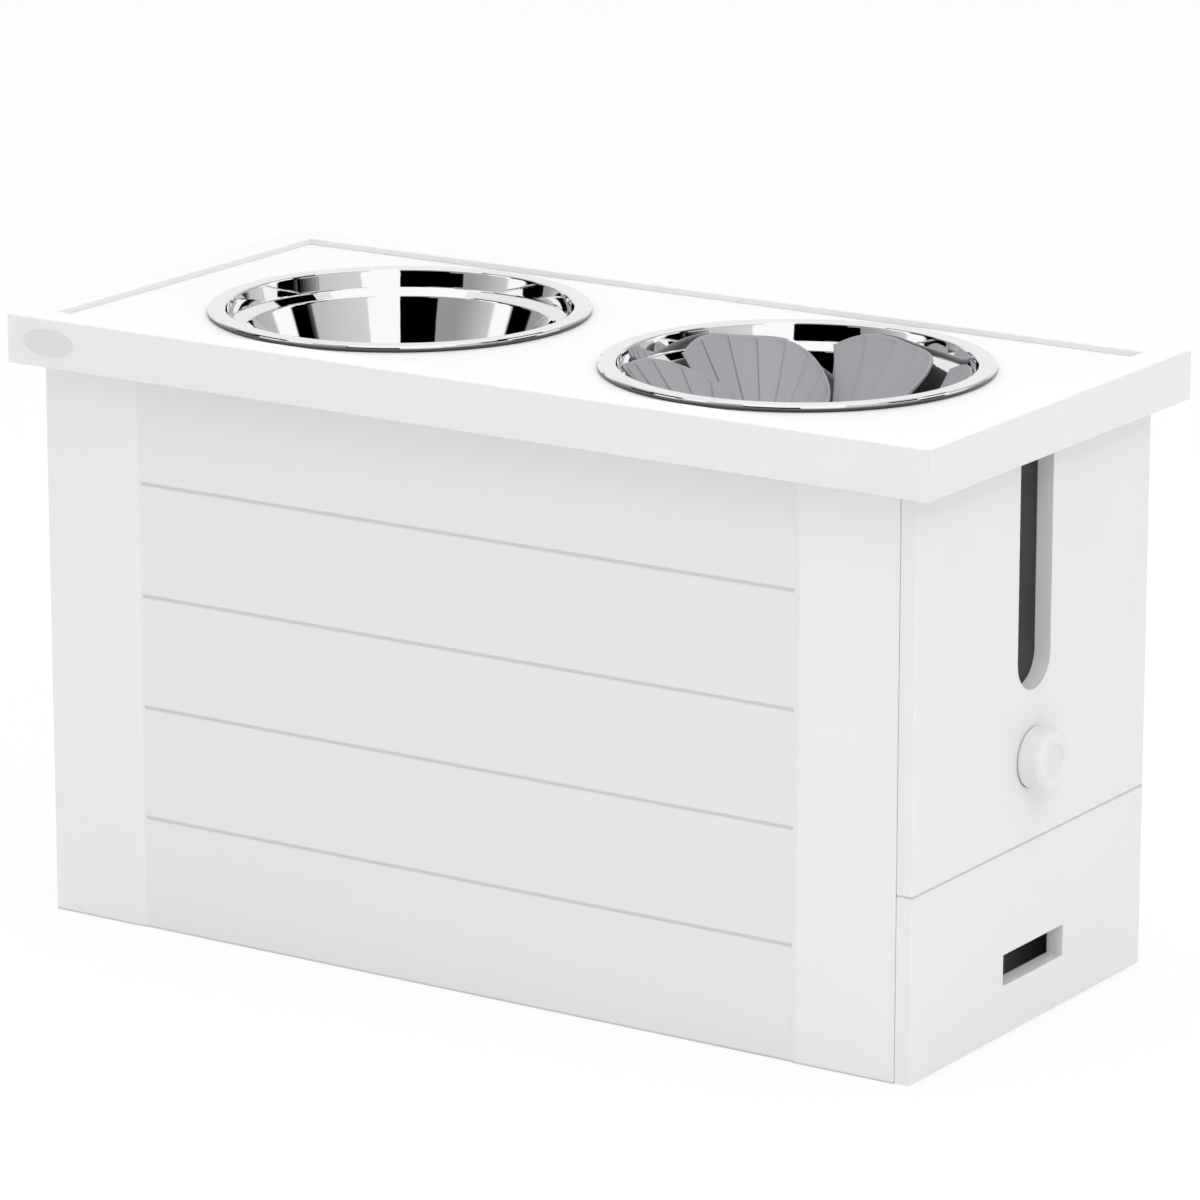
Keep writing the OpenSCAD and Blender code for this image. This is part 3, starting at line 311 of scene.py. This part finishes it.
def raw_pine(name):
    """Planed pine: rings drawn out along Y, pores and a dry sheen."""
    r = Recipe(name)
    along = r.here((60.0, 6.0, 60.0))
    rings = r.noise(1.4, 4.0, 0.6, along, 1.6)
    pores = r.noise(9.0, 3.0, 0.7, along)
    colour = r.ramp(rings, (0.32, (0.58, 0.38, 0.20, 1)), (0.5, (0.72, 0.52, 0.31, 1)),
                    (0.66, (0.64, 0.43, 0.24, 1)))
    colour = r.blend(r.span(pores, 0.55, 0.8, 0.0, 0.3), colour, (0.40, 0.25, 0.13, 1))
    return r.finish(
        Base_Color=colour,
        Roughness=r.span(rings, 0.2, 0.8, 0.56, 0.72),
        Specular_IOR_Level=0.3,
        Normal=r.bump(pores, 0.25, 0.0006, r.bump(rings, 0.2, 0.001)),
    )


def zinc_plate(name):
    """Bright zinc on pressed steel, with a fine spangle."""
    r = Recipe(name)
    spangle = r.node("ShaderNodeTexVoronoi", Vector=r.here(), Scale=420.0).outputs["Color"]
    haze = r.noise(60.0, 3.0)
    colour = r.blend(r.span(haze, 0.3, 0.7, 0.0, 0.6), (0.62, 0.63, 0.66, 1), (0.5, 0.52, 0.55, 1))
    return r.finish(
        Base_Color=colour,
        Metallic=1.0,
        Roughness=r.span(spangle, 0.0, 1.0, 0.26, 0.4),
        Normal=r.bump(r.noise(700.0, 2.0), 0.12, 0.0003),
    )


def drawn_steel(name):
    """Steel rod with drawing lines along its length."""
    r = Recipe(name)
    lines = r.noise(3.0, 2.0, 0.6, r.here((20.0, 2600.0, 2600.0)))
    colour = r.ramp(lines, (0.3, grey(0.46)), (0.7, grey(0.58)))
    return r.finish(
        Base_Color=colour,
        Metallic=1.0,
        Roughness=r.span(lines, 0.2, 0.8, 0.24, 0.38),
        Normal=r.bump(lines, 0.1, 0.0002),
    )


def mirror_steel(name, centre):
    """Mirror-polished bowl: spinning marks that only soften the shine, and painted shade on the underside
    of its rolled edge."""
    # marks a metre, and in metres the radius and height between which the rolled edge gets painted shade
    marks_scale = 2400.0
    edge_radius, edge_height = (0.1140, 0.1146), (0.3731, 0.3738)
    r = Recipe(name)
    shifted = r.node("ShaderNodeMapping", Vector=r.here(), Location=(-centre[0] * MM, -centre[1] * MM, 0))
    split = r.node("ShaderNodeSeparateXYZ", Vector=shifted.outputs["Vector"])
    radius = r.math("SQRT", r.math("ADD", r.math("POWER", split.outputs[0], 2.0),
                                   r.math("POWER", split.outputs[1], 2.0)))
    turning = r.node("ShaderNodeCombineXYZ", X=r.math("MULTIPLY", radius, marks_scale),
                     Y=r.math("MULTIPLY", split.outputs[2], marks_scale), Z=0.0)
    marks = r.noise(1.0, 2.0, 0.5, turning.outputs["Vector"])
    smear = r.noise(28.0, 3.0, 0.55)
    colour = r.ramp(smear, (0.3, (0.93, 0.93, 0.935, 1)), (0.7, (0.96, 0.96, 0.96, 1)))
    # painted shade: the underside of the rolled edge is coloured near black, standing in for the shadow line
    # under the rim
    rolled = r.math("MULTIPLY", r.span(radius, *edge_radius, 0.0, 1.0),
                    r.span(split.outputs[2], *edge_height, 1.0, 0.0))
    colour = r.blend(rolled, colour, (0.10, 0.105, 0.11, 1))
    return r.finish(
        Base_Color=colour,
        Metallic=1.0,
        Roughness=r.math("ADD", r.span(smear, 0.35, 0.75, 0.018, 0.04),
                         r.span(marks, 0.4, 0.8, 0.0, 0.012)),
        Normal=r.bump(marks, 0.012, 0.00005),
    )


def moulded(name, base, rough, grain=0.10):
    """Injection-moulded plastic: even colour with a spark-eroded grain."""
    r = Recipe(name)
    darker = tuple(c * 0.94 for c in base[:3]) + (1.0,)
    flow = r.noise(16.0, 3.0, 0.5)
    grainy = r.noise(1500.0, 1.0)
    colour = r.blend(r.span(flow, 0.3, 0.75, 0.0, 0.7), base, darker)
    return r.finish(
        Base_Color=colour,
        Roughness=r.span(grainy, 0.2, 0.8, rough - 0.05, rough + 0.07),
        Specular_IOR_Level=0.4,
        Normal=r.bump(grainy, grain, 0.0003),
    )


def clear_sheet(name):
    """See-through acrylic sheet with faint handling marks. Its strong tint is painted shade: it is there to
    make the slot as dark as the photo shows it."""
    r = Recipe(name)
    marks = r.noise(90.0, 4.0, 0.7, r.here((1.0, 1.0, 14.0)))
    # painted shade: the dark grey tint darkens all that is seen through the sheet
    colour = r.blend(r.span(marks, 0.4, 0.8, 0.0, 0.3), (0.30, 0.305, 0.31, 1), (0.27, 0.275, 0.28, 1))
    return r.finish(
        Base_Color=colour,
        Roughness=r.span(marks, 0.5, 0.9, 0.0, 0.03),
        Transmission_Weight=1.0,
        IOR=1.49,
        Specular_IOR_Level=0.1,
        Normal=r.bump(marks, 0.02, 0.0001),
    )


def silver_foil(name):
    """Brushed silver foil of the bare label, with a soft grain along its length."""
    r = Recipe(name)
    brushing = r.noise(2.0, 3.0, 0.6, r.here((60.0, 900.0, 1600.0)))
    colour = r.ramp(brushing, (0.3, grey(0.68)), (0.7, grey(0.78)))
    return r.finish(
        Base_Color=colour,
        Metallic=0.15,
        Roughness=r.span(brushing, 0.2, 0.8, 0.42, 0.55),
        Normal=r.bump(brushing, 0.08, 0.0002),
    )


LACQUER = satin_lacquer("white_lacquer", 0.805)
FRONT_LACQUER = satin_lacquer("white_lacquer_front", 0.82, sunk_y=FIELD_Y * MM)
# painted shade: the boards inside the hopper are a mid grey, darker than the white outside, so that the
# closed interior looks dark
INSIDE_PAINTED_SHADE = satin_lacquer("inside_board_painted_shade", 0.54, warm=0.01, gloss=0.5)
PINE = raw_pine("planed_pine")
ZINC = zinc_plate("bright_zinc")
ROD = drawn_steel("drawn_steel")
BOWL_LEFT = mirror_steel("mirror_steel_left", BOWL_LEFT_CENTRE)
BOWL_RIGHT = mirror_steel("mirror_steel_right", BOWL_RIGHT_CENTRE)
GREY_PLASTIC = moulded("grey_food_safe_plastic", (0.348, 0.343, 0.370, 1), rough=0.55)
KNOB_PLASTIC = moulded("white_knob_plastic", grey(0.79), rough=0.36, grain=0.04)
PANE = clear_sheet("acrylic_tinted_as_painted_shade")
FOIL = silver_foil("brushed_silver_foil")

BY_SLOT = {
    "painted_board": LACQUER,
    "inner_board": INSIDE_PAINTED_SHADE,
    "batten_wood": PINE,
    "zinc_fittings": ZINC,
    "steel_rod": ROD,
    "insert_plastic": GREY_PLASTIC,
    "white_plastic": KNOB_PLASTIC,
    "clear_pane": PANE,
}


def dress(name, material):
    """Gives a node its finish."""
    slots = frame["nodes"][name].data.materials
    slots.clear()
    slots.append(material)


for part in frame["record"]["subparts"]:
    if part["material_slot"] in BY_SLOT:
        dress(part["node"], BY_SLOT[part["material_slot"]])
dress("front_panel", FRONT_LACQUER)
dress("bowl_left", BOWL_LEFT)
dress("bowl_right", BOWL_RIGHT)


# ---- small fittings ---------------------------------------------------------------
def set_piece(name, mesh, body):
    """Puts a finished mesh into the scene and sets it on its body."""
    mesh.name = name
    piece = bpy.data.objects.new(name, mesh)
    scene.collection.objects.link(piece)
    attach(piece, body)
    return piece


def add_piece(name, mesh_builder, material, body, smooth=None):
    """Builds a mesh piece by hand, gives it its finish and sets it on its body."""
    mesh = bpy.data.meshes.new(name)
    shape = bmesh.new()
    mesh_builder(shape)
    write_mesh(shape, mesh, smooth)
    mesh.materials.append(material)
    return set_piece(name, mesh, body)


def pleated_petals():
    """The insert's petals: pleated sheets with rounded lips, curled and turned like a pinwheel's."""
    low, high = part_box("insert_base")
    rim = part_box("bowl_right")[1][2] / MM
    foot_z = high[2] / MM
    centre = [(a + b) / 2 for a, b in zip(low, high)]
    # these six are those of the build
    fan_r, fan_drop, twist, play, tip_drop, gap = 30.0, 9.6, 22.0, 3.8, 11.0, 5.0
    # the groove's share of a pleat, the rounded corner's share of a petal and the bead's width
    line_share, corner_share, bead_width = 0.07, 0.2, 2.4
    # how finely the sheet is cut, and how much its columns and rows crowd
    columns_per_pleat, layers, column_crowding, row_crowding = 8, 8, 0.9, 1.5
    # the sheet thickens over its lowest sixth, to half as thick again at its foot
    foot_rate, foot_swell = 6, 0.5
    # what tells the last row and the outermost columns from their neighbours
    last_row, first_column, last_column, nudge = 0.9999, 0.001, 0.999, 0.0001
    tip_r = BOWL_WALL_R - BOWL_CORNER_R - play
    run = tip_r / math.cos(math.radians(twist)) - fan_r - play
    rise = rim - tip_drop - (foot_z - fan_drop)
    g = Grower(
        "pleated_petals", Petals=PETAL_COUNT, Pleats=8, Rows=36, Turn=18.0, Length=math.hypot(run, rise),
        Width=2 * tip_r * math.sin(math.pi / PETAL_COUNT) - gap, Squareness=2.85,
        Thickness=2.2, Step=0.8, Groove=0.5, Bead=0.5, Corner=0.20,
        Cup=23.0, Curl=5.0, Lean=math.degrees(math.atan2(run, rise)), Twist=twist, Roll=10.0,
        FanRadius=fan_r, FanShift=12.0, FanDrop=fan_drop, FanStart=55.5, FanAngle=83.0,
        FootHeight=foot_z, Finish=GREY_PLASTIC)
    size = g.size
    radian = math.pi / 180
    columns = size("Pleats") * columns_per_pleat + 1
    block = g.node("GeometryNodeMeshCube", Size=(1.0, 1.0, 1.0), Vertices_X=columns, Vertices_Y=size("Rows"),
                   Vertices_Z=layers)
    place = g.node("GeometryNodeInputPosition").outputs[0]
    across, along, through = [part + 0.5 for part in g.split(place)]
    # rows crowd towards the free edge, which has a rounded bead
    along = 1 - (1 - along) ** row_crowding

    # columns crowd towards each pleat's two edges, so that its step stays crisp
    pleat = across * size("Pleats") + nudge
    inside = pleat.math("FRACT")
    inside = inside - (inside * (2 * math.pi)).math("SINE") * (column_crowding / (2 * math.pi))
    share = ((pleat.math("FLOOR") + inside) / size("Pleats")).math("MINIMUM", 1.0)

    # each pleat climbs to a step, with a groove along the line between two pleats
    half = size("Thickness") / 2
    round_lip = (through - 0.5) * math.pi
    bulge = round_lip.math("COSINE") * half
    near_line = 1 - inside.math("MINIMUM", 1 - inside) / line_share
    relief = inside * size("Step") - near_line.math("MAXIMUM", 0.0) * size("Groove")

    # the outline is a superellipse, with one corner rounded off and a bead along its free edges
    angle = (share * size("FanAngle") - size("FanStart")) * radian
    slant = angle + size("Roll") * radian
    foot_d = size("FanDrop") / (size("Lean") * radian).math("COSINE")
    start = foot_d / slant.math("COSINE")
    wide = (angle.math("SINE").math("ABSOLUTE") / (size("Width") / 2)) ** size("Squareness")
    tall = (angle.math("COSINE") / size("Length")) ** size("Squareness")
    trim = (1 - share / corner_share).math("MAXIMUM", 0.0)
    rounding = 1 - (1 - trim * trim).math("MAXIMUM", 0.0).math("SQRT")
    reach = (wide + tall) ** (-1 / size("Squareness")) * (1 - size("Corner") * rounding) - half
    to_tip = (reach - start) * (1 - along)
    to_side = (share * (1 - share) * size("FanAngle") * radian) * (start + (reach - start) * along)
    bead = (1 - to_tip.math("MINIMUM", to_side) / bead_width).math("MAXIMUM", 0.0)
    bead = bead * (2 - bead) * size("Bead")
    lift = round_lip.math("SINE") * half - half + through * (relief * (1 - bead / size("Bead")) + bead)
    tip = along.math("GREATER_THAN", last_row)
    side = across.math("GREATER_THAN", last_column) - across.math("LESS_THAN", first_column)
    far = start + (reach - start) * along + bulge * tip
    slant = slant + side * bulge / far

    # the flat outline is cupped across, curled along, leaned out and swayed
    u = far * slant.math("COSINE")
    v = far * slant.math("SINE")
    cup = size("Cup") / (size("Width") / 2) ** 2.0
    curl = size("Curl") / (size("Length") / 2) ** 2.0
    bend = u - size("Length") / 2
    off = cup * v * v + curl * bend * bend
    foot = (1 - along * foot_rate).math("MAXIMUM", 0.0)
    sunk = off * foot
    off = off + lift * (1 + foot * foot_swell * (1 - through))
    lean, sway = size("Lean") * radian, size("Twist") * radian
    x = u * lean.math("SINE") - off * lean.math("COSINE")
    height = size("FootHeight") - size("FanDrop") + u * lean.math("COSINE") + (off - sunk) * lean.math("SINE")
    spot = g.joined(size("FanRadius") + x * sway.math("COSINE") + v * sway.math("SINE"),
                    size("FanShift") - x * sway.math("SINE") + v * sway.math("COSINE"), height)
    petal = g.node("GeometryNodeSetPosition", Geometry=block.outputs["Mesh"], Position=spot)

    index = Term(g.tree, g.node("GeometryNodeInputIndex").outputs[0])
    ring = g.node("GeometryNodePoints", Count=size("Petals"))
    spin = g.joined(0.0, 0.0, (size("Turn") + index * 360 / size("Petals")) * radian)
    copies = g.node("GeometryNodeInstanceOnPoints", Points=ring.outputs[0], Instance=petal.outputs[0],
                    Rotation=spin)
    shrunk = g.node("GeometryNodeTransform", Geometry=copies.outputs[0], Scale=(MM, MM, MM),
                    Translation=(centre[0], centre[1], 0.0))
    petals = set_piece("pleated_petals", g.grow(shrunk.outputs[0]), "insert")
    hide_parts("insert_petals")


def bare_oval(shape, centre=(-289.3, 360.5), size=(18.6, 8.3), thick=0.35, around=96):
    """A blank oval foil label on the lid's front edge: a flat field, a fine raised rim and its edge."""
    rings = []
    for share, out in ((0.0, 0.7), (0.93, 0.7), (0.955, 1.0), (0.98, 1.0), (1.0, 0.55), (1.0, -0.2)):
        ring = []
        for k in range(around if share else 1):
            a = 2 * math.pi * k / around
            ring.append(shape.verts.new((
                (centre[0] + size[0] * share * math.cos(a)) * MM,
                (LID_FRONT_Y - thick * out) * MM,
                (centre[1] + size[1] * share * math.sin(a)) * MM)))
        rings.append(ring)
    for k in range(around):
        n = (k + 1) % around
        shape.faces.new((rings[0][0], rings[1][k], rings[1][n]))
        for inner, outer in zip(rings[1:], rings[2:]):
            shape.faces.new((inner[k], outer[k], outer[n], inner[n]))
    shape.faces.new(list(reversed(rings[-1])))


def turned_knob(shape, around=96):
    """The pull: a barrel with a well rounded face and a crisp round dish in it. Steps are (x, radius)."""
    tail, neck, barrel, nose, front = 294.0, 17.2, 18.1, 5.2, 319.7
    nose_steps = 12
    steps = [(tail, 0.0), (tail, neck), (304.4, neck), (304.6, barrel - 0.4), (305.0, barrel)]
    for k in range(nose_steps + 1):
        a = math.radians(90 / nose_steps * k)
        steps.append((front - nose + nose * math.sin(a), barrel - nose + nose * math.cos(a)))
    for depth, radius in ((0.05, 10.6), (0.35, 10.1), (1.1, 9.7), (1.9, 9.2), (2.4, 8.2),
                          (2.7, 6.0), (2.9, 3.0), (3.0, 0.0)):
        steps.append((front - depth, radius))
    rings = []
    for x, radius in steps:
        ring = []
        for k in range(around if radius else 1):
            a = 2 * math.pi * k / around
            ring.append(shape.verts.new((
                x * MM,
                (KNOB_AXIS[0] + radius * math.cos(a)) * MM,
                (KNOB_AXIS[1] + radius * math.sin(a)) * MM)))
        rings.append(ring)
    for a, b in zip(rings, rings[1:]):
        for k in range(around):
            n = (k + 1) % around
            corners = [a[k % len(a)], a[n % len(a)], b[n % len(b)], b[k % len(b)]]
            shape.faces.new(list(dict.fromkeys(corners)))


def edge_band(shape, low, high, soft=0.12):
    """A strip of glued edging with its four long edges eased."""
    (x0, y0, z0), (x1, y1, z1) = low, high
    outline = [(x0 + soft, z0), (x1 - soft, z0), (x1, z0 + soft), (x1, z1 - soft),
               (x1 - soft, z1), (x0 + soft, z1), (x0, z1 - soft), (x0, z0 + soft)]
    ends = [[shape.verts.new((x * MM, y * MM, z * MM)) for x, z in outline] for y in (y0, y1)]
    for k in range(len(outline)):
        n = (k + 1) % len(outline)
        shape.faces.new((ends[0][k], ends[0][n], ends[1][n], ends[1][k]))
    shape.faces.new(ends[0])
    shape.faces.new(list(reversed(ends[1])))


def seam_band(name, node, body, on_top):
    """An edging strip along the seam, on the top of a node or under it, set in a little from its faces."""
    inset, outer_inset, thick = 0.4, 0.1, 0.35
    low, high = [[c / MM for c in corner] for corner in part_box(node)]
    foot = high[2] if on_top else low[2] - thick
    head = high[2] + thick if on_top else low[2]
    first = (low[0] + inset, low[1] + inset, foot)
    last = (high[0] - outer_inset, high[1] - inset, head)
    add_piece(name, lambda shape: edge_band(shape, first, last), LACQUER, body)


pleated_petals()
knob = add_piece("turned_knob", turned_knob, KNOB_PLASTIC, "gate", smooth=40.0)
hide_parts("pull_knob")
seam_band("side_edge_band", "right_side_panel", "cabinet", on_top=False)
seam_band("drawer_edge_band", "drawer_front", "drawer", on_top=True)
add_piece("bare_oval_label", bare_oval, FOIL, "lid")


# ---- floor, light and camera ------------------------------------------------------
def floor():
    """A wide pale floor that keeps a faint shadow of the feeder."""
    mesh = bpy.data.meshes.new("studio_floor")
    half, below = 30.0, 0.0004
    corners = [(-half, -half, 0), (half, -half, 0), (half, half, 0), (-half, half, 0)]
    mesh.from_pydata(corners, [], [(0, 1, 2, 3)])
    made = bpy.data.objects.new("studio_floor", mesh)
    scene.collection.objects.link(made)
    made.location.z = -below
    r = Recipe("pale_studio_floor")
    tree = r.tree
    tone = r.ramp(r.noise(3.0, 2.0), (0.3, grey(0.90)), (0.7, grey(0.92)))
    r.finish(Base_Color=tone, Roughness=0.9, Specular_IOR_Level=0.1)
    glow = r.node("ShaderNodeEmission", Color=grey(1.0), Strength=1.0)
    rays = r.node("ShaderNodeLightPath")
    seen = r.math("MAXIMUM", rays.outputs["Is Camera Ray"],
                  r.math("MAXIMUM", rays.outputs["Is Glossy Ray"], rays.outputs["Is Transmission Ray"]))
    mix = r.node("ShaderNodeMixShader", Fac=r.math("MULTIPLY", seen, FLOOR_GLOW))
    tree.links.new(r.shader.outputs["BSDF"], mix.inputs[1])
    tree.links.new(glow.outputs[0], mix.inputs[2])
    tree.links.new(mix.outputs[0], r.output.inputs["Surface"])
    mesh.materials.append(r.material)


def sky():
    """White world: seen as pure white, and lighting the feeder at a plain level."""
    world = bpy.data.worlds.new("white_studio")
    scene.world = world
    world.use_nodes = True
    tree = world.node_tree
    back = next(n for n in tree.nodes if n.type == "BACKGROUND")
    rays = tree.nodes.new("ShaderNodeLightPath")
    seen = tree.nodes.new("ShaderNodeMath")
    seen.operation = "MAXIMUM"
    glossy = tree.nodes.new("ShaderNodeMath")
    glossy.operation = "MAXIMUM"
    tree.links.new(rays.outputs["Is Glossy Ray"], glossy.inputs[0])
    tree.links.new(rays.outputs["Is Transmission Ray"], glossy.inputs[1])
    tree.links.new(rays.outputs["Is Camera Ray"], seen.inputs[0])
    tree.links.new(glossy.outputs[0], seen.inputs[1])
    strength = tree.nodes.new("ShaderNodeMapRange")
    tree.links.new(seen.outputs[0], strength.inputs["Value"])
    strength.inputs["To Min"].default_value = WORLD_LIGHT
    strength.inputs["To Max"].default_value = WORLD_SEEN
    back.inputs["Color"].default_value = (1, 1, 1, 1)
    tree.links.new(strength.outputs["Result"], back.inputs["Strength"])


def lamp(name, place, size, power, aim=(0, 0, 0.2)):
    """A soft round lamp, in metres and watts, that no reflection shows."""
    data = bpy.data.lights.new(name, "AREA")
    data.shape = "DISK"
    data.size = size
    data.energy = power
    made = bpy.data.objects.new(name, data)
    made.location = place
    made.rotation_euler = (Vector(aim) - Vector(place)).to_track_quat("-Z", "Y").to_euler()
    made.visible_glossy = False
    scene.collection.objects.link(made)


def turned(turn, rise, far):
    """A point at a distance in metres from the bowls. Turns are from the camera's direction, to its right."""
    bowl_height = 0.35
    a, e = math.radians(CAMERA_TURN - 90 + turn), math.radians(rise)
    return (far * math.cos(a) * math.cos(e), far * math.sin(a) * math.cos(e), bowl_height + far * math.sin(e))


def for_shine_only(name, mesh, tone):
    """Sets a glowing card that only glossy rays see: steel mirrors it, and lacquer and plastic catch a little
    of its sheen."""
    made = bpy.data.objects.new(name, mesh)
    scene.collection.objects.link(made)
    made.visible_camera = made.visible_diffuse = made.visible_transmission = False
    made.visible_shadow = made.visible_volume_scatter = False
    r = Recipe(name)
    glow = r.node("ShaderNodeEmission", Strength=1.0)
    r.feed(glow.inputs["Color"], tone(r))
    r.tree.links.new(glow.outputs[0], r.output.inputs["Surface"])
    mesh.materials.append(r.material)


def studio_wall(far=14.0, low=-2.0, high=62.0, across=96, up=8):
    """A round wall of soft grey, white and black panels, as bright steel shows it."""
    mesh = bpy.data.meshes.new("studio_wall")
    points, faces = [], []
    for j in range(up + 1):
        for i in range(across):
            points.append(turned(360 * i / across, low + (high - low) * j / up, far))
    for j in range(up):
        this, above = j * across, (j + 1) * across
        for i in range(across):
            n = (i + 1) % across
            faces.append((this + i, this + n, above + n, above + i))
    mesh.from_pydata(points, [], faces)

    def tone(r):
        turn = r.node("ShaderNodeMapping", Vector=r.here(), Rotation=(0, 0, math.radians(90 - CAMERA_TURN)))
        split = r.node("ShaderNodeSeparateXYZ", Vector=turn.outputs["Vector"])
        angle = r.math("ARCTAN2", split.outputs[1], split.outputs[0])
        return r.ramp(r.span(angle, -math.pi, math.pi, 0.0, 1.0),
                      *[((at + 180) / 360, grey(bright)) for at, bright in WALL_TONES])

    for_shine_only("studio_wall", mesh, tone)


def reflector(name, low, high, rise0, rise1, bright, corner=0.0, far=12.0, steps=24):
    """A card with rounded upper corners. Its two sides are given as turns at its foot and at its head."""
    mesh = bpy.data.meshes.new(name)
    points = []
    for i in range(steps + 1):
        share = i / steps
        edge = min(share, 1 - share) * abs(low[1] - low[0])
        cut = corner - math.sqrt(max(corner ** 2 - (corner - edge) ** 2, 0)) if edge < corner else 0.0
        for rise, ends in ((rise0, low), (rise1 - cut, high)):
            points.append(turned(ends[0] + (ends[1] - ends[0]) * share, rise, far))
    mesh.from_pydata(points, [], [(2 * i, 2 * i + 2, 2 * i + 3, 2 * i + 1) for i in range(steps)])
    for_shine_only(name, mesh, lambda r: grey(bright))


def camera():
    """The camera that sees the feeder as the photo does."""
    turn, rise = math.radians(CAMERA_TURN), math.radians(CAMERA_RISE)
    back = Vector((math.sin(turn) * math.cos(rise), -math.cos(turn) * math.cos(rise), math.sin(rise)))
    data = bpy.data.cameras.new("photo_camera")
    data.sensor_width = 36.0
    data.sensor_fit = "HORIZONTAL"
    data.lens = CAMERA_LENS
    data.clip_start, data.clip_end = 0.1, 100.0
    made = bpy.data.objects.new("photo_camera", data)
    made.location = Vector(CAMERA_TARGET) * MM + back * CAMERA_DISTANCE * MM
    made.rotation_euler = (-back).to_track_quat("-Z", "Y").to_euler()
    scene.collection.objects.link(made)
    scene.camera = made


scene.view_settings.view_transform = "Standard"
floor()
sky()
lamp("soft_top_light", place=(0.0, 0.0, 3.2), size=2.6, power=32.0)
lamp("soft_corner_light", place=(2.4, -1.7, 3.0), size=1.6, power=25.0)
studio_wall()
reflector("black_card", low=(-46.0, 1.0), high=(-20.0, 1.0), rise0=-1.0, rise1=50.0, bright=0.0, corner=10.0)
# cards one before another, each narrower and darker, make a soft-sided dark patch
DARK_CARDS = 7
for k in range(DARK_CARDS):
    reflector(f"low_card_{k}", low=(54.0 + 3 * k, 75.0), high=(61.0 + 2 * k, 75.0), rise0=-1.0,
              rise1=13.0 - 0.6 * k, bright=0.34 * (1 - k / (DARK_CARDS - 1)) ** 1.5, corner=3.0,
              far=12.0 - 0.1 * k)
reflector("back_black_card", low=(141.0, 152.0), high=(141.0, 152.0), rise0=42.0, rise1=57.0, bright=0.0,
          corner=3.0)
camera()
